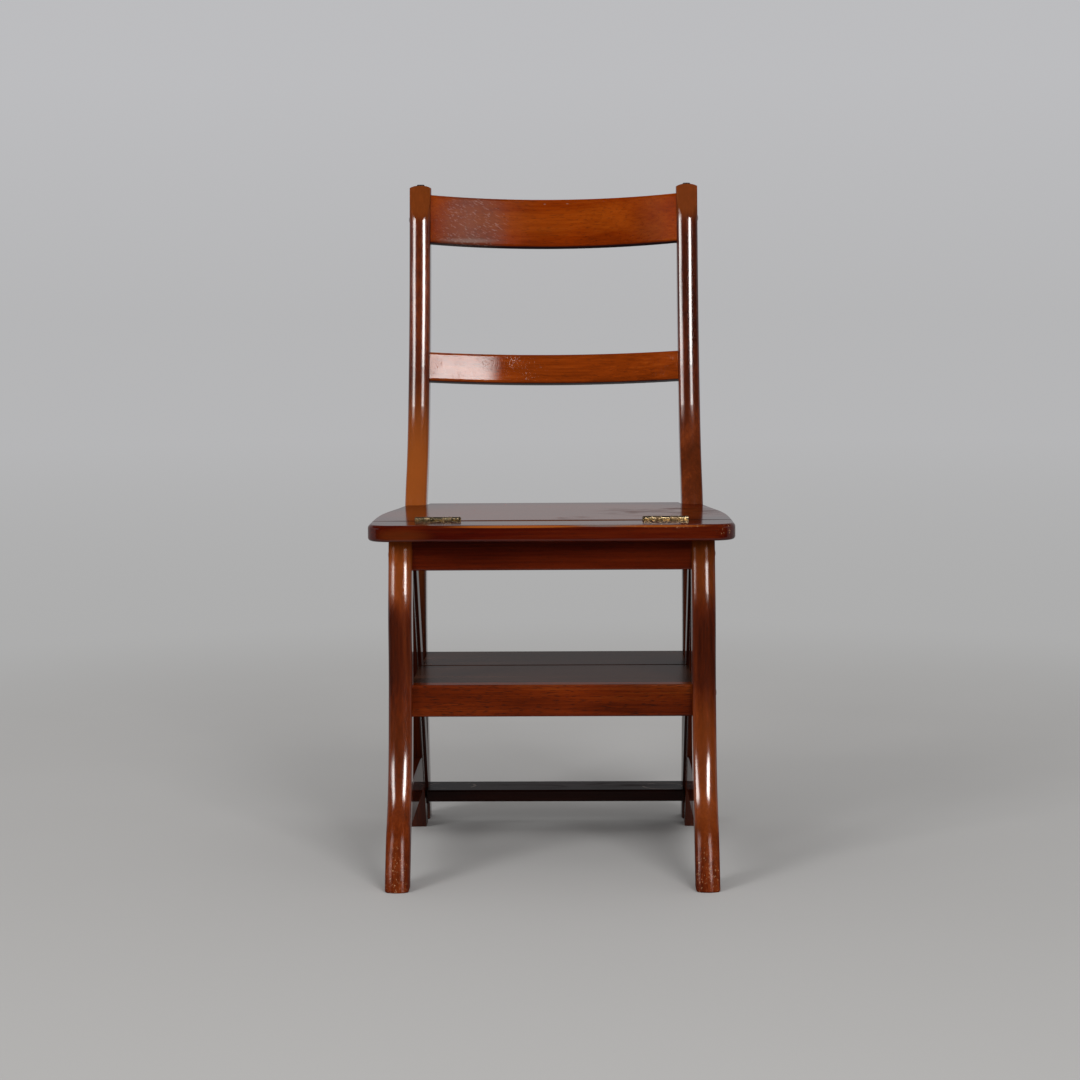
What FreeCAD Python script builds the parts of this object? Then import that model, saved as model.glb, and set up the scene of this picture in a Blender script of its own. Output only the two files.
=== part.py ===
import FreeCAD, Part
import math
import os
import re

# A library chair whose rear half flips over a hinge in the seat and turns the
# chair into a short flight of steps. Sizes are millimetres.
# X runs to the right, Y to the back, Z up. The origin is on the floor, under the
# middle of the chair. Setbacks are measured back from the front toes.

SIZES = {
    # Seat
    "seat_height": 449.0,
    "seat_thickness": 21.0,
    "seat_half_width": 233.5,
    "seat_front_overhang": 34.0,
    "seat_front_bow": 3.0,
    "seat_corner_radius": 30.0,
    "seat_rear_overhang": 1.0,
    "seat_hip_setback": 285.0,
    "seat_hip_draw": 5.5,
    "seat_waist_setback": 345.0,
    "seat_waist_draw": 15.5,
    "seat_tail_inset": 3.0,
    "seat_tail_slope": 0.32,
    "seat_top_round": 5.0,
    "seat_bottom_round": 4.0,
    "split_gap": 0.8,
    "split_round": 2.0,
    "seat_slot_width": 5.0,
    "seat_notch_set_in": 12.0,
    "side_rail_set_in": 9.0,
    # Hinge line and the slant on which the two frames part
    "hinge_setback": 156.0,
    "hinge_rise": 2.0,
    "slant_foot_setback": 411.0,
    "slant_gap": 3.0,
    # Front legs
    "leg_inner_half": 178.0,
    "leg_width": 30.0,
    "leg_depth": 32.0,
    "leg_ankle_height": 50.0,
    "leg_ankle_setback": 20.0,
    "leg_shin_height": 120.0,
    "leg_shin_setback": 64.0,
    "leg_knee_height": 240.0,
    "leg_knee_setback": 94.0,
    "leg_thigh_drop": 68.0,
    "leg_thigh_setback": 104.0,
    "leg_top_setback": 120.0,
    "leg_toe_slope": 0.30,
    "crown_radius": 28.0,
    "crown_corner_radius": 5.0,
    "end_allowance": 18.0,
    "leg_back_round": 4.0,
    "foot_chamfer": 1.5,
    # Rear posts, one piece from the floor to the top of the back
    "post_inner_half": 178.0,
    "post_width": 30.0,
    "post_depth": 36.0,
    "post_foot_setback": 418.0,
    "post_ankle_height": 100.0,
    "post_ankle_setback": 394.0,
    "post_knee_height": 290.0,
    "post_knee_setback": 372.0,
    "post_seat_setback": 402.0,
    "post_loin_rise": 81.0,
    "post_loin_setback": 458.0,
    "post_waist_rise": 191.0,
    "post_waist_setback": 502.0,
    "post_top_setback": 558.0,
    "post_top_slope": 0.15,
    "post_back_round": 6.0,
    "post_top_land": 6.0,
    "post_top_drop": 3.2,
    "post_facet_height": 50.0,
    "post_facet_depth": 9.0,
    # Back rails
    "crest_height": 71.0,
    "crest_thickness": 18.0,
    "crest_drop": 82.5,
    "crest_lead": 7.0,
    "crest_bow": 36.0,
    "crest_rake": 10.5,
    "back_rail_height": 43.0,
    "back_rail_thickness": 16.0,
    "back_rail_rise": 171.0,
    "back_rail_lead": 1.0,
    "back_rail_bow": 18.0,
    "back_rail_rake": 17.0,
    "rail_round": 4.0,
    # Aprons under the seat
    "apron_height": 40.0,
    "apron_thickness": 20.0,
    "front_apron_set_in": 4.0,
    "rear_apron_lead": 1.0,
    "side_rail_thickness": 22.0,
    # Stringers, the slanting sides of the flight of steps
    "stringer_depth": 36.0,
    "stringer_thickness": 22.0,
    "front_stringer_inner_half": 180.5,
    "rear_stringer_inner_half": 178.0,
    "rear_stringer_bottom": 28.0,
    "under_seat_gap": 1.0,
    "stringer_round": 2.0,
    # Side stretchers low on the front frame
    "stretcher_inner_half": 181.0,
    "stretcher_thickness": 22.0,
    "stretcher_bottom": 62.0,
    "stretcher_height": 49.0,
    # Steps
    "step_height": 243.0,
    "step_thickness": 16.0,
    "step_rail_height": 41.0,
    "step_rail_thickness": 20.0,
    "step_rail_set_in": 14.0,
    "step_screw_set_in": 4.5,
    "step_gap": 3.0,
    "rear_step_reach": 32.0,
    "low_step_height": 54.0,
    "low_step_thickness": 16.5,
    "low_step_nosing": 17.5,
    "low_step_depth": 62.0,
    "edge_round": 2.5,
    # Brass hinges in the seat
    "hinge_centre": 146.5,
    "hinge_length": 58.0,
    "knuckle_count": 5,
    "knuckle_radius": 3.2,
    "knuckle_gap": 0.3,
    "leaf_width": 15.0,
    "leaf_thickness": 1.6,
    "leaf_proud": 0.2,
    "knuckle_clearance": 0.4,
    "pin_radius": 1.5,
    "pin_clearance": 0.05,
    "pin_head_thickness": 0.8,
    "pin_head_radius": 2.4,
    "bed_clearance": 0.2,
    "hinge_screw_radius": 1.2,
    "hinge_screw_head_radius": 2.6,
    "hinge_screw_length": 14.0,
    "hinge_screw_spacing": 21.0,
    "hinge_screw_offset": 9.5,
    "screw_clearance": 0.1,
    # Plugs over the frame screws, and those screws
    "plug_radius": 6.0,
    "plug_depth": 6.0,
    "plug_dome": 1.4,
    "left_step_plug_rise": 11.0,
    "right_step_plug_rise": 30.0,
    "crest_plug_rise": 35.5,
    "frame_screw_radius": 2.0,
    "frame_screw_head_radius": 4.2,
    "frame_screw_head_thickness": 2.5,
    "frame_screw_length": 55.0,
    "crest_screw_length": 34.0,
    # Black glides on the post tops, the feet of the steps
    "glide_radius": 5.5,
    "glide_proud": 2.0,
    "glide_round": 1.2,
    "glide_stem_radius": 2.0,
    "glide_stem_length": 12.0,
    "glide_setback": 22.0,
}

doc = FreeCAD.newDocument("library_chair")
vector = FreeCAD.Vector
pieces = []
NEAR = 0.01


def make_sheet():
    """Write every driving size into one spreadsheet, each cell with its alias."""
    sheet = doc.addObject("Spreadsheet::Sheet", "Sizes")
    for row, (alias, value) in enumerate(SIZES.items(), start=1):
        sheet.set("A%d" % row, alias.replace("_", " "))
        sheet.set("B%d" % row, str(value))
        sheet.setAlias("B%d" % row, alias)
    doc.recompute()
    return sheet


sizes = make_sheet()


def size(alias):
    """Read one size back from the spreadsheet."""
    return float(sizes.get(alias))


# Lengths that follow from the driving sizes, written once for every piece
DERIVED = {
    "crest_reach": (
        "((crest_bow + crest_thickness - rail_round) * cos(crest_rake)"
        " + (crest_height - rail_round) * sin(crest_rake) + rail_round)"
    ),
    "toe_line": "(-(crest_setback + crest_reach) / 2)",
    "seat_bottom": "(seat_height - seat_thickness)",
    "hinge_height": "(seat_height + hinge_rise)",
    "wood_top": "(2 * (seat_height + hinge_rise) - glide_proud)",
    "leaf_floor": "(seat_height + leaf_proud - leaf_thickness)",
    "leg_outer_half": "(leg_inner_half + leg_width)",
    "post_outer_half": "(post_inner_half + post_width)",
    "crest_bottom": "(wood_top - crest_drop)",
    "crest_setback": "(post_top_setback - crest_lead)",
    "back_rail_bottom": "(seat_height + back_rail_rise)",
    "back_rail_setback": "(post_waist_setback - back_rail_lead)",
    "front_apron_setback": "(leg_top_setback + front_apron_set_in)",
    "rear_apron_setback": "(post_seat_setback - rear_apron_lead)",
    "apron_bottom": "(seat_bottom - apron_height)",
    "step_rail_setback": "(leg_knee_setback + step_rail_set_in)",
    "step_rail_bottom": "(step_height - step_rail_height)",
    "step_slant": (
        "(hinge_setback + (slant_foot_setback - hinge_setback) * (1 - step_height / hinge_height))"
    ),
    "low_step_slant": (
        "(hinge_setback + (slant_foot_setback - hinge_setback) * (1 - low_step_height / hinge_height))"
    ),
}


def formula(text):
    """Turn plain size names into references to the spreadsheet's cells."""
    while any(name in DERIVED for name in re.findall(r"[a-z_]+", text)):
        text = re.sub(r"[a-z_]+", lambda m: DERIVED.get(m.group(0), m.group(0)), text)
    return re.sub(
        r"[a-z_]{2,}", lambda m: "Sizes." + m.group(0) if m.group(0) in SIZES else m.group(0), text
    )


def bind(thing, path, text):
    """Tie one property of an object to a formula of sizes."""
    thing.setExpression(path, formula(text))


def place(thing, across, setback, height):
    """Place an object by its distance across, its setback from the toes and its height."""
    bind(thing, "Placement.Base.x", across)
    bind(thing, "Placement.Base.y", "toe_line + " + setback)
    bind(thing, "Placement.Base.z", height)


def new_body(label, across="0", setback="0", height="0"):
    """Start a piece of its own, placed in the chair."""
    body = doc.addObject("PartDesign::Body", label)
    body.Label = label
    place(body, across, setback, height)
    pieces.append(body)
    return body


def plane_of(body, role):
    """Find one of a body's own origin planes."""
    return [feature for feature in body.Origin.OriginFeatures if feature.Role == role][0]


def new_sketch(body, role, outline):
    """Draw a closed outline on one of the body's own planes."""
    sketch = body.newObject("Sketcher::SketchObject", body.Label + "_outline")
    sketch.AttachmentSupport = [(plane_of(body, role), "")]
    sketch.MapMode = "FlatFace"
    for curve in outline:
        sketch.addGeometry(curve, False)
    return sketch


def pad(body, sketch, thickness, mirrored=False):
    """Give an outline its thickness."""
    solid = body.newObject("PartDesign::Pad", body.Label + "_pad")
    solid.Profile = sketch
    bind(solid, "Length", thickness)
    solid.Midplane = mirrored
    doc.recompute()
    return solid


def soften(body, kind, value, wanted):
    """Round or chamfer the edges of the body that the test picks."""
    base = body.Tip
    names = ["Edge%d" % number for number, edge in enumerate(base.Shape.Edges, start=1) if wanted(edge)]
    feature = body.newObject("PartDesign::" + kind, body.Label + "_" + kind.lower())
    feature.Base = (base, names)
    bind(feature, "Radius" if kind == "Fillet" else "Size", value)
    doc.recompute()
    return feature


def primitive(body, kind, name, measures, across, along, height, turn=None):
    """Add or take away a box, cylinder or cone inside a body."""
    feature = body.newObject("PartDesign::" + kind, body.Label + "_" + name)
    for prop, text in measures.items():
        bind(feature, prop, text)
    if turn:
        feature.Placement = FreeCAD.Placement(vector(), turn)
    bind(feature, "Placement.Base.x", across)
    bind(feature, "Placement.Base.y", along)
    bind(feature, "Placement.Base.z", height)
    return feature


def trimmed(label, blank, cutters):
    """Scribe a piece to its neighbours by cutting their shapes out of it."""
    blank.Label = label + "_blank"
    pieces.remove(blank)
    result = blank
    for number, cutter in enumerate(cutters, start=1):
        cut = doc.addObject("Part::Cut", "%s_scribed_%d" % (label, number))
        cut.Base = result
        cut.Tool = cutter
        result = cut
    result.Label = label
    pieces.append(result)
    doc.recompute()
    return result


def polygon(points):
    """Straight lines through points and back to the first."""
    corners = [vector(a, b, 0) for a, b in points]
    return [Part.LineSegment(corners[i - 1], corners[i]) for i in range(len(corners))]


def slant(height, offset=0.0):
    """Setback of the slant on which the frames part, at a height."""
    hinge_height = size("seat_height") + size("hinge_rise")
    run = size("slant_foot_setback") - size("hinge_setback")
    return size("hinge_setback") + run * (1 - height / hinge_height) + offset


# Curved members: sawn to an S from one plank, with a crowned front and rounded corners

STRAIGHT = 0.000001


def arc_from(start, direction, finish):
    """The circular arc that leaves a point in a direction and ends at another point."""
    chord = finish - start
    along = vector(chord).normalize()
    side = direction - along * direction.dot(along)
    if side.Length < STRAIGHT:
        return Part.LineSegment(start, finish)
    turn = direction.getAngle(chord)
    middle = (start + finish) / 2 + side.normalize() * (chord.Length / 2 * math.tan(turn / 2))
    return Part.Arc(start, middle, finish)


def circle_direction(before, point, after):
    """Direction at the middle one of three points of the circle through them."""
    back = point - before
    ahead = after - point
    blend = back * (ahead.Length / back.Length) + ahead * (back.Length / ahead.Length)
    return blend.normalize()


def tangent_arcs(points, first, last):
    """A smooth chain of arcs through points, two between each pair, with given end directions."""
    inner = [circle_direction(*points[i - 1:i + 2]) for i in range(1, len(points) - 1)]
    directions = [first.normalize()] + inner + [last.normalize()]
    chain = []
    for start, finish, leave, arrive in zip(points, points[1:], directions, directions[1:]):
        chord = finish - start
        bend = 2 * (1 - leave.dot(arrive))
        reach = 2 * chord.dot(leave + arrive)
        if bend < STRAIGHT ** 2:
            length = chord.dot(chord) / reach
        else:
            length = (-reach + (reach ** 2 + 4 * bend * chord.dot(chord)) ** 0.5) / (2 * bend)
        joint = (start + finish + (leave - arrive) * length) / 2
        chain.append(arc_from(start, leave, joint))
        chain.append(arc_from(finish, arrive * -1, joint))
    return chain


def front_curve(points, first_slope, last_slope, straight_foot, straight_top):
    """The front line of a curved member, seen from the side, with spare length at both ends."""
    path = [vector(setback, height, 0) for setback, height in points]
    curved = path[1:] if straight_foot else path[:]
    curved = curved[:-1] if straight_top else curved
    first = path[1] - path[0] if straight_foot else vector(first_slope, 1, 0)
    last = path[-1] - path[-2] if straight_top else vector(last_slope, 1, 0)
    line = tangent_arcs(curved, vector(first), vector(last))
    spare = size("end_allowance")
    below = path[0] - first.normalize() * spare
    above = path[-1] + last.normalize() * spare
    line.insert(0, Part.LineSegment(below, curved[0]))
    line.append(Part.LineSegment(curved[-1], above))
    return line


def crowned_section(width, depth, back_round):
    """Square section of a leg or post: crowned front, tight front corners, rounded back corners."""
    crown = size("crown_radius")
    corner = size("crown_corner_radius")
    half = width / 2
    shoulder = crown - ((crown - corner) ** 2 - (half - corner) ** 2) ** 0.5
    crown_centre = vector(half, crown, 0)
    outline = [
        Part.LineSegment(vector(back_round, depth, 0), vector(width - back_round, depth, 0)),
        Part.LineSegment(vector(0, shoulder, 0), vector(0, depth - back_round, 0)),
        Part.LineSegment(vector(width, shoulder, 0), vector(width, depth - back_round, 0)),
    ]
    meetings = []
    for side, edge in ((1, 0), (-1, width)):
        centre = vector(edge + side * corner, shoulder, 0)
        outward = (centre - crown_centre).normalize()
        between = (outward + vector(-side, 0, 0)).normalize()
        meetings.append(crown_centre + outward * crown)
        outline.append(Part.Arc(vector(edge, shoulder, 0), centre + between * corner, meetings[-1]))
        inset = edge + side * back_round
        middle = vector(inset, depth - back_round, 0) + vector(-side, 1, 0).normalize() * back_round
        outline.append(Part.Arc(vector(edge, depth - back_round, 0), middle, vector(inset, depth, 0)))
    outline.append(Part.Arc(meetings[0], vector(half, 0, 0), meetings[1]))
    return outline


def sweep(body, section, line):
    """Carry a section up a line, square to it all the way."""
    start = line[0].StartPoint
    direction = (line[0].EndPoint - start).normalize()
    lean = math.degrees(math.atan2(-direction.x, direction.y))
    profile = new_sketch(body, "XY_Plane", section)
    profile.AttachmentOffset = FreeCAD.Placement(
        vector(0, start.x, start.y), FreeCAD.Rotation(vector(1, 0, 0), lean)
    )
    spine = new_sketch(body, "YZ_Plane", line)
    doc.recompute()
    solid = body.newObject("PartDesign::AdditivePipe", body.Label + "_sweep")
    solid.Profile = profile
    solid.Spine = (spine, [])
    doc.recompute()
    return solid


def saw_level(body, setback, height, way, depth):
    """Saw an end of a curved member off level: way is 1 for its top and -1 for its foot."""
    spare = 2 * size("end_allowance")
    beyond = height + way * spare
    near = setback - spare
    far = setback + depth + spare
    waste = [(near, height), (far, height), (far, beyond), (near, beyond)]
    pocket(body, "YZ_Plane", polygon(waste), "4 * leg_width")


def pocket(body, role, outline, length):
    """Cut an outline away on both sides of one of the body's own planes."""
    cut = body.newObject("PartDesign::Pocket", body.Label + "_pocket")
    cut.Profile = new_sketch(body, role, outline)
    bind(cut, "Length", length)
    cut.Midplane = True
    doc.recompute()
    return cut


def at_height(height):
    """Pick the edges that lie at one height."""

    def wanted(edge):
        box = edge.BoundBox
        return abs(box.ZMin - height) < NEAR and abs(box.ZMax - height) < NEAR

    return wanted


def knot(member, name):
    """One named point of a curved member's front face, as setback and height."""
    return (size("%s_%s_setback" % (member, name)), size("%s_%s_height" % (member, name)))


def leg_points():
    """Front face of a front leg, from the toe to the underside of the seat."""
    seat_bottom = size("seat_height") - size("seat_thickness")
    return [
        (0.0, 0.0),
        knot("leg", "ankle"),
        knot("leg", "shin"),
        knot("leg", "knee"),
        (size("leg_thigh_setback"), seat_bottom - size("leg_thigh_drop")),
        (size("leg_top_setback"), seat_bottom),
    ]


def post_points():
    """Front face of a rear post, from its foot to its top."""
    seat = size("seat_height")
    wood_top = 2 * (seat + size("hinge_rise")) - size("glide_proud")
    return [
        (size("post_foot_setback"), 0.0),
        knot("post", "ankle"),
        knot("post", "knee"),
        (size("post_seat_setback"), seat),
        (size("post_loin_setback"), seat + size("post_loin_rise")),
        (size("post_waist_setback"), seat + size("post_waist_rise")),
        (size("post_top_setback"), wood_top),
    ]


def drill_for_screw(body, name, side, width, setback, height):
    """Counterbore a leg or post from its outer side for a plug and screw, and drill it through."""
    turn = FreeCAD.Rotation(vector(0, 1, 0), 90)
    head_depth = "(plug_depth + frame_screw_head_thickness)"
    start = width + " - " + head_depth if side > 0 else "0"
    bore = {"Radius": "plug_radius", "Height": head_depth}
    hole = {"Radius": "frame_screw_radius + screw_clearance", "Height": width}
    primitive(body, "SubtractiveCylinder", name + "_bore", bore, start, setback, height, turn)
    primitive(body, "SubtractiveCylinder", name + "_hole", hole, "0", setback, height, turn)


STEP_PLUG_RISE = {-1: "left_step_plug_rise", 1: "right_step_plug_rise"}
APRON_SCREW_SETBACK = "(front_apron_setback + apron_thickness / 2)"
STEP_SCREW_SETBACK = "(step_rail_setback + step_screw_set_in)"
CREST_SCREW_SETBACK = (
    "(crest_setback + crest_thickness / 2 * cos(crest_rake) + crest_plug_rise * sin(crest_rake))"
)
CREST_SCREW_HEIGHT = (
    "(crest_bottom - crest_thickness / 2 * sin(crest_rake) + crest_plug_rise * cos(crest_rake))"
)


def front_leg(label, side):
    """One sabre leg, from toe to seat."""
    body = new_body(label, "leg_inner_half" if side > 0 else "-leg_outer_half")
    points = leg_points()
    depth = size("leg_depth")
    section = crowned_section(size("leg_width"), depth, size("leg_back_round"))
    sweep(body, section, front_curve(points, size("leg_toe_slope"), 0, False, True))
    saw_level(body, *points[0], -1, depth)
    saw_level(body, *points[-1], 1, depth)
    soften(body, "Chamfer", "foot_chamfer", at_height(0))
    drill_for_screw(
        body, "apron", side, "leg_width", APRON_SCREW_SETBACK, "apron_bottom + apron_height / 2"
    )
    drill_for_screw(
        body, "step", side, "leg_width", STEP_SCREW_SETBACK, "step_rail_bottom + " + STEP_PLUG_RISE[side]
    )
    doc.recompute()
    return body


def shape_post_top(body, tip):
    """Slope the front of a post back to its top, and round the top's two sides down from a flat land."""
    setback, top = tip
    low = top - size("post_facet_height")
    low_setback = setback - size("post_top_slope") * size("post_facet_height")
    facet = [(low_setback, low), (setback + size("post_facet_depth"), top), (low_setback, top)]
    pocket(body, "YZ_Plane", polygon(facet), "4 * post_width")
    width = size("post_width")
    shoulder = (width - size("post_top_land")) / 2
    drop = size("post_top_drop")
    for side, edge in ((1, 0), (-1, width)):
        corner = vector(edge, top, 0)
        land = vector(edge + side * shoulder, top, 0)
        low = vector(edge, top - drop, 0)
        waste = [
            arc_from(land, vector(-side, 0, 0), low),
            Part.LineSegment(low, corner),
            Part.LineSegment(corner, land),
        ]
        pocket(body, "XZ_Plane", waste, "4 * post_top_setback")


def rear_post(label, side):
    """One rear leg and back post in a single curved piece."""
    body = new_body(label, "post_inner_half" if side > 0 else "-post_outer_half")
    points = post_points()
    depth = size("post_depth")
    section = crowned_section(size("post_width"), depth, size("post_back_round"))
    sweep(body, section, front_curve(points, 0, size("post_top_slope"), True, False))
    saw_level(body, *points[0], -1, depth)
    saw_level(body, *points[-1], 1, depth)
    soften(body, "Chamfer", "foot_chamfer", at_height(0))
    shape_post_top(body, points[-1])
    drill_for_screw(body, "crest", side, "post_width", CREST_SCREW_SETBACK, CREST_SCREW_HEIGHT)
    glide_hole = {"Radius": "glide_stem_radius + screw_clearance", "Height": "glide_stem_length"}
    primitive(
        body, "SubtractiveCylinder", "glide_hole", glide_hole,
        "post_width / 2", "post_top_setback + glide_setback", "wood_top - glide_stem_length",
    )
    doc.recompute()
    return body


# Boards and rails


ALL_EDGES = ("front_top", "front_bottom", "rear_top", "rear_bottom")


def board(label, half_width, front, rear, bottom, top, rounded):
    """A straight board across the chair, with its picked long edges rounded."""
    body = new_body(label, "-(%s)" % half_width, "(%s)" % front, "(%s)" % bottom)
    measures = {
        "Length": "2 * (%s)" % half_width,
        "Width": "(%s) - (%s)" % (rear, front),
        "Height": "(%s) - (%s)" % (top, bottom),
    }
    primitive(body, "AdditiveBox", "stock", measures, "0", "0", "0")
    doc.recompute()
    box = body.Shape.BoundBox

    def wanted(edge):
        length = edge.BoundBox
        if length.XLength < box.XLength - NEAR:
            return False
        at_front = length.YMin < box.YLength / 2
        at_top = length.ZMin > box.ZLength / 2
        return (("front" if at_front else "rear") + ("_top" if at_top else "_bottom")) in rounded

    soften(body, "Fillet", "edge_round", wanted)
    return body


def pilot_holes(body, half_width, along, heights):
    """Drill both ends of a rail for the frame screws."""
    turn = FreeCAD.Rotation(vector(0, 1, 0), 90)
    hole = {"Radius": "frame_screw_radius + screw_clearance", "Height": SCREW_IN_RAIL}
    for side, start in ((-1, "0"), (1, "2 * %s - %s" % (half_width, SCREW_IN_RAIL))):
        name = "pilot_left" if side < 0 else "pilot_right"
        primitive(body, "SubtractiveCylinder", name, hole, start, along, heights[side], turn)
    doc.recompute()


SCREW_IN_RAIL = "(frame_screw_length - leg_width + plug_depth + frame_screw_head_thickness)"
SCREW_IN_CREST = "(crest_screw_length - post_width + plug_depth + frame_screw_head_thickness)"


def front_apron():
    """Rail under the front of the seat, between the front legs."""
    body = board(
        "front_apron", "leg_inner_half", "front_apron_setback", "front_apron_setback + apron_thickness",
        "apron_bottom", "seat_bottom", ("front_bottom", "rear_bottom"),
    )
    middle = "apron_height / 2"
    pilot_holes(body, "leg_inner_half", "apron_thickness / 2", {-1: middle, 1: middle})
    return body


def step_rail():
    """Rail in front of the first step, between the front legs."""
    body = board(
        "step_rail", "leg_inner_half", "step_rail_setback", "step_rail_setback + step_rail_thickness",
        "step_rail_bottom", "step_height", ("front_top", "front_bottom", "rear_bottom"),
    )
    pilot_holes(body, "leg_inner_half", "step_screw_set_in", STEP_PLUG_RISE)
    return body


def bowed_rail(label, name):
    """A back rail bent backwards in the middle and leaning with the posts."""
    body = new_body(label, "0", name + "_setback", name + "_bottom")
    body.Placement = FreeCAD.Placement(
        body.Placement.Base, FreeCAD.Rotation(vector(-1, 0, 0), size(name + "_rake"))
    )
    bind(body, "Placement.Rotation.Angle", name + "_rake")
    half = size("post_inner_half")
    bow = size(name + "_bow")
    thickness = size(name + "_thickness")
    front = Part.Arc(vector(-half, 0, 0), vector(0, bow, 0), vector(half, 0, 0))
    back = Part.Arc(vector(-half, thickness, 0), vector(0, bow + thickness, 0), vector(half, thickness, 0))
    ends = [
        Part.LineSegment(vector(side * half, 0, 0), vector(side * half, thickness, 0)) for side in (-1, 1)
    ]
    pad(body, new_sketch(body, "XY_Plane", [front, back] + ends), name + "_height")
    soften(body, "Fillet", "rail_round", lambda edge: edge.BoundBox.XLength > half)
    return body


def crest_rail():
    """Top rail of the back, screwed on through the posts."""
    body = bowed_rail("crest_rail", "crest")
    turn = FreeCAD.Rotation(vector(0, 1, 0), 90)
    hole = {"Radius": "frame_screw_radius + screw_clearance", "Height": SCREW_IN_CREST}
    for name, start in (("left", "-post_inner_half"), ("right", "post_inner_half - " + SCREW_IN_CREST)):
        primitive(
            body, "SubtractiveCylinder", "pilot_" + name, hole,
            start, "crest_thickness / 2", "crest_plug_rise", turn,
        )
    doc.recompute()
    return body


# The seat, split along the hinge line


def hinge_cuts(body, facing):
    """Let the hinges into one half of the seat: leaf beds, barrel grooves and pilot holes."""
    bed_floor = "seat_thickness + leaf_proud - leaf_thickness"
    groove = "(knuckle_radius + knuckle_clearance)"
    for side in (-1, 1):
        name = "left" if side < 0 else "right"
        middle = "%d * hinge_centre" % side
        bed = {
            "Length": "hinge_length + 2 * bed_clearance",
            "Width": "leaf_width + bed_clearance",
            "Height": "2 * leaf_thickness",
        }
        trough = {
            "Length": "hinge_length + 2 * (pin_head_thickness + knuckle_clearance)",
            "Width": groove,
            "Height": "2 * knuckle_radius",
        }
        bed_start = "hinge_setback - leaf_width - bed_clearance" if facing < 0 else "hinge_setback"
        trough_start = "hinge_setback - " + groove if facing < 0 else "hinge_setback"
        primitive(
            body, "SubtractiveBox", "bed_" + name, bed,
            middle + " - hinge_length / 2 - bed_clearance", bed_start, bed_floor,
        )
        primitive(
            body, "SubtractiveBox", "trough_" + name, trough,
            middle + " - hinge_length / 2 - pin_head_thickness - knuckle_clearance",
            trough_start, "seat_thickness + hinge_rise - " + groove,
        )
        for index in (-1, 0, 1):
            hole = {
                "Radius": "hinge_screw_radius + screw_clearance",
                "Height": "hinge_screw_length",
            }
            primitive(
                body, "SubtractiveCylinder", "pilot_%s_%d" % (name, index + 2), hole,
                "%s + %d * hinge_screw_spacing" % (middle, index),
                "hinge_setback + %d * hinge_screw_offset" % facing,
                bed_floor + " - hinge_screw_length",
            )
    doc.recompute()


def split_edge(height, setback):
    """Pick a seat board's long edge beside the split."""
    level = at_height(height)
    return lambda edge: level(edge) and abs(edge.BoundBox.YMin - setback) + edge.BoundBox.YLength < NEAR


def seat_front_board():
    """Front strip of the seat, with rounded corners and a slightly bowed front edge."""
    body = new_body("seat_front_board", "0", "0", "seat_bottom")
    half = size("seat_half_width")
    front = size("leg_top_setback") - size("seat_front_overhang")
    rear = size("hinge_setback") - size("split_gap") / 2
    radius = size("seat_corner_radius")
    shoulder = front + size("seat_front_bow")
    arc_middle = radius * (1 - 0.5 ** 0.5)
    outline = [
        Part.Arc(
            vector(half - radius, shoulder, 0), vector(0, front, 0), vector(radius - half, shoulder, 0)
        ),
        Part.LineSegment(vector(-half, rear, 0), vector(half, rear, 0)),
    ]
    for side in (-1, 1):
        corner = Part.Arc(
            vector(side * half, shoulder + radius, 0),
            vector(side * (half - arc_middle), shoulder + arc_middle, 0),
            vector(side * (half - radius), shoulder, 0),
        )
        outline.append(corner)
        outline.append(
            Part.LineSegment(vector(side * half, shoulder + radius, 0), vector(side * half, rear, 0))
        )
    pad(body, new_sketch(body, "XY_Plane", outline), "seat_thickness")
    thickness = size("seat_thickness")

    def outer(height):
        return lambda edge: at_height(height)(edge) and edge.BoundBox.YMin < rear - 1

    soften(body, "Fillet", "seat_top_round", outer(thickness))
    soften(body, "Fillet", "seat_bottom_round", outer(0))
    soften(body, "Fillet", "split_round", split_edge(thickness, rear))
    hinge_cuts(body, -1)
    return body


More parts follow.
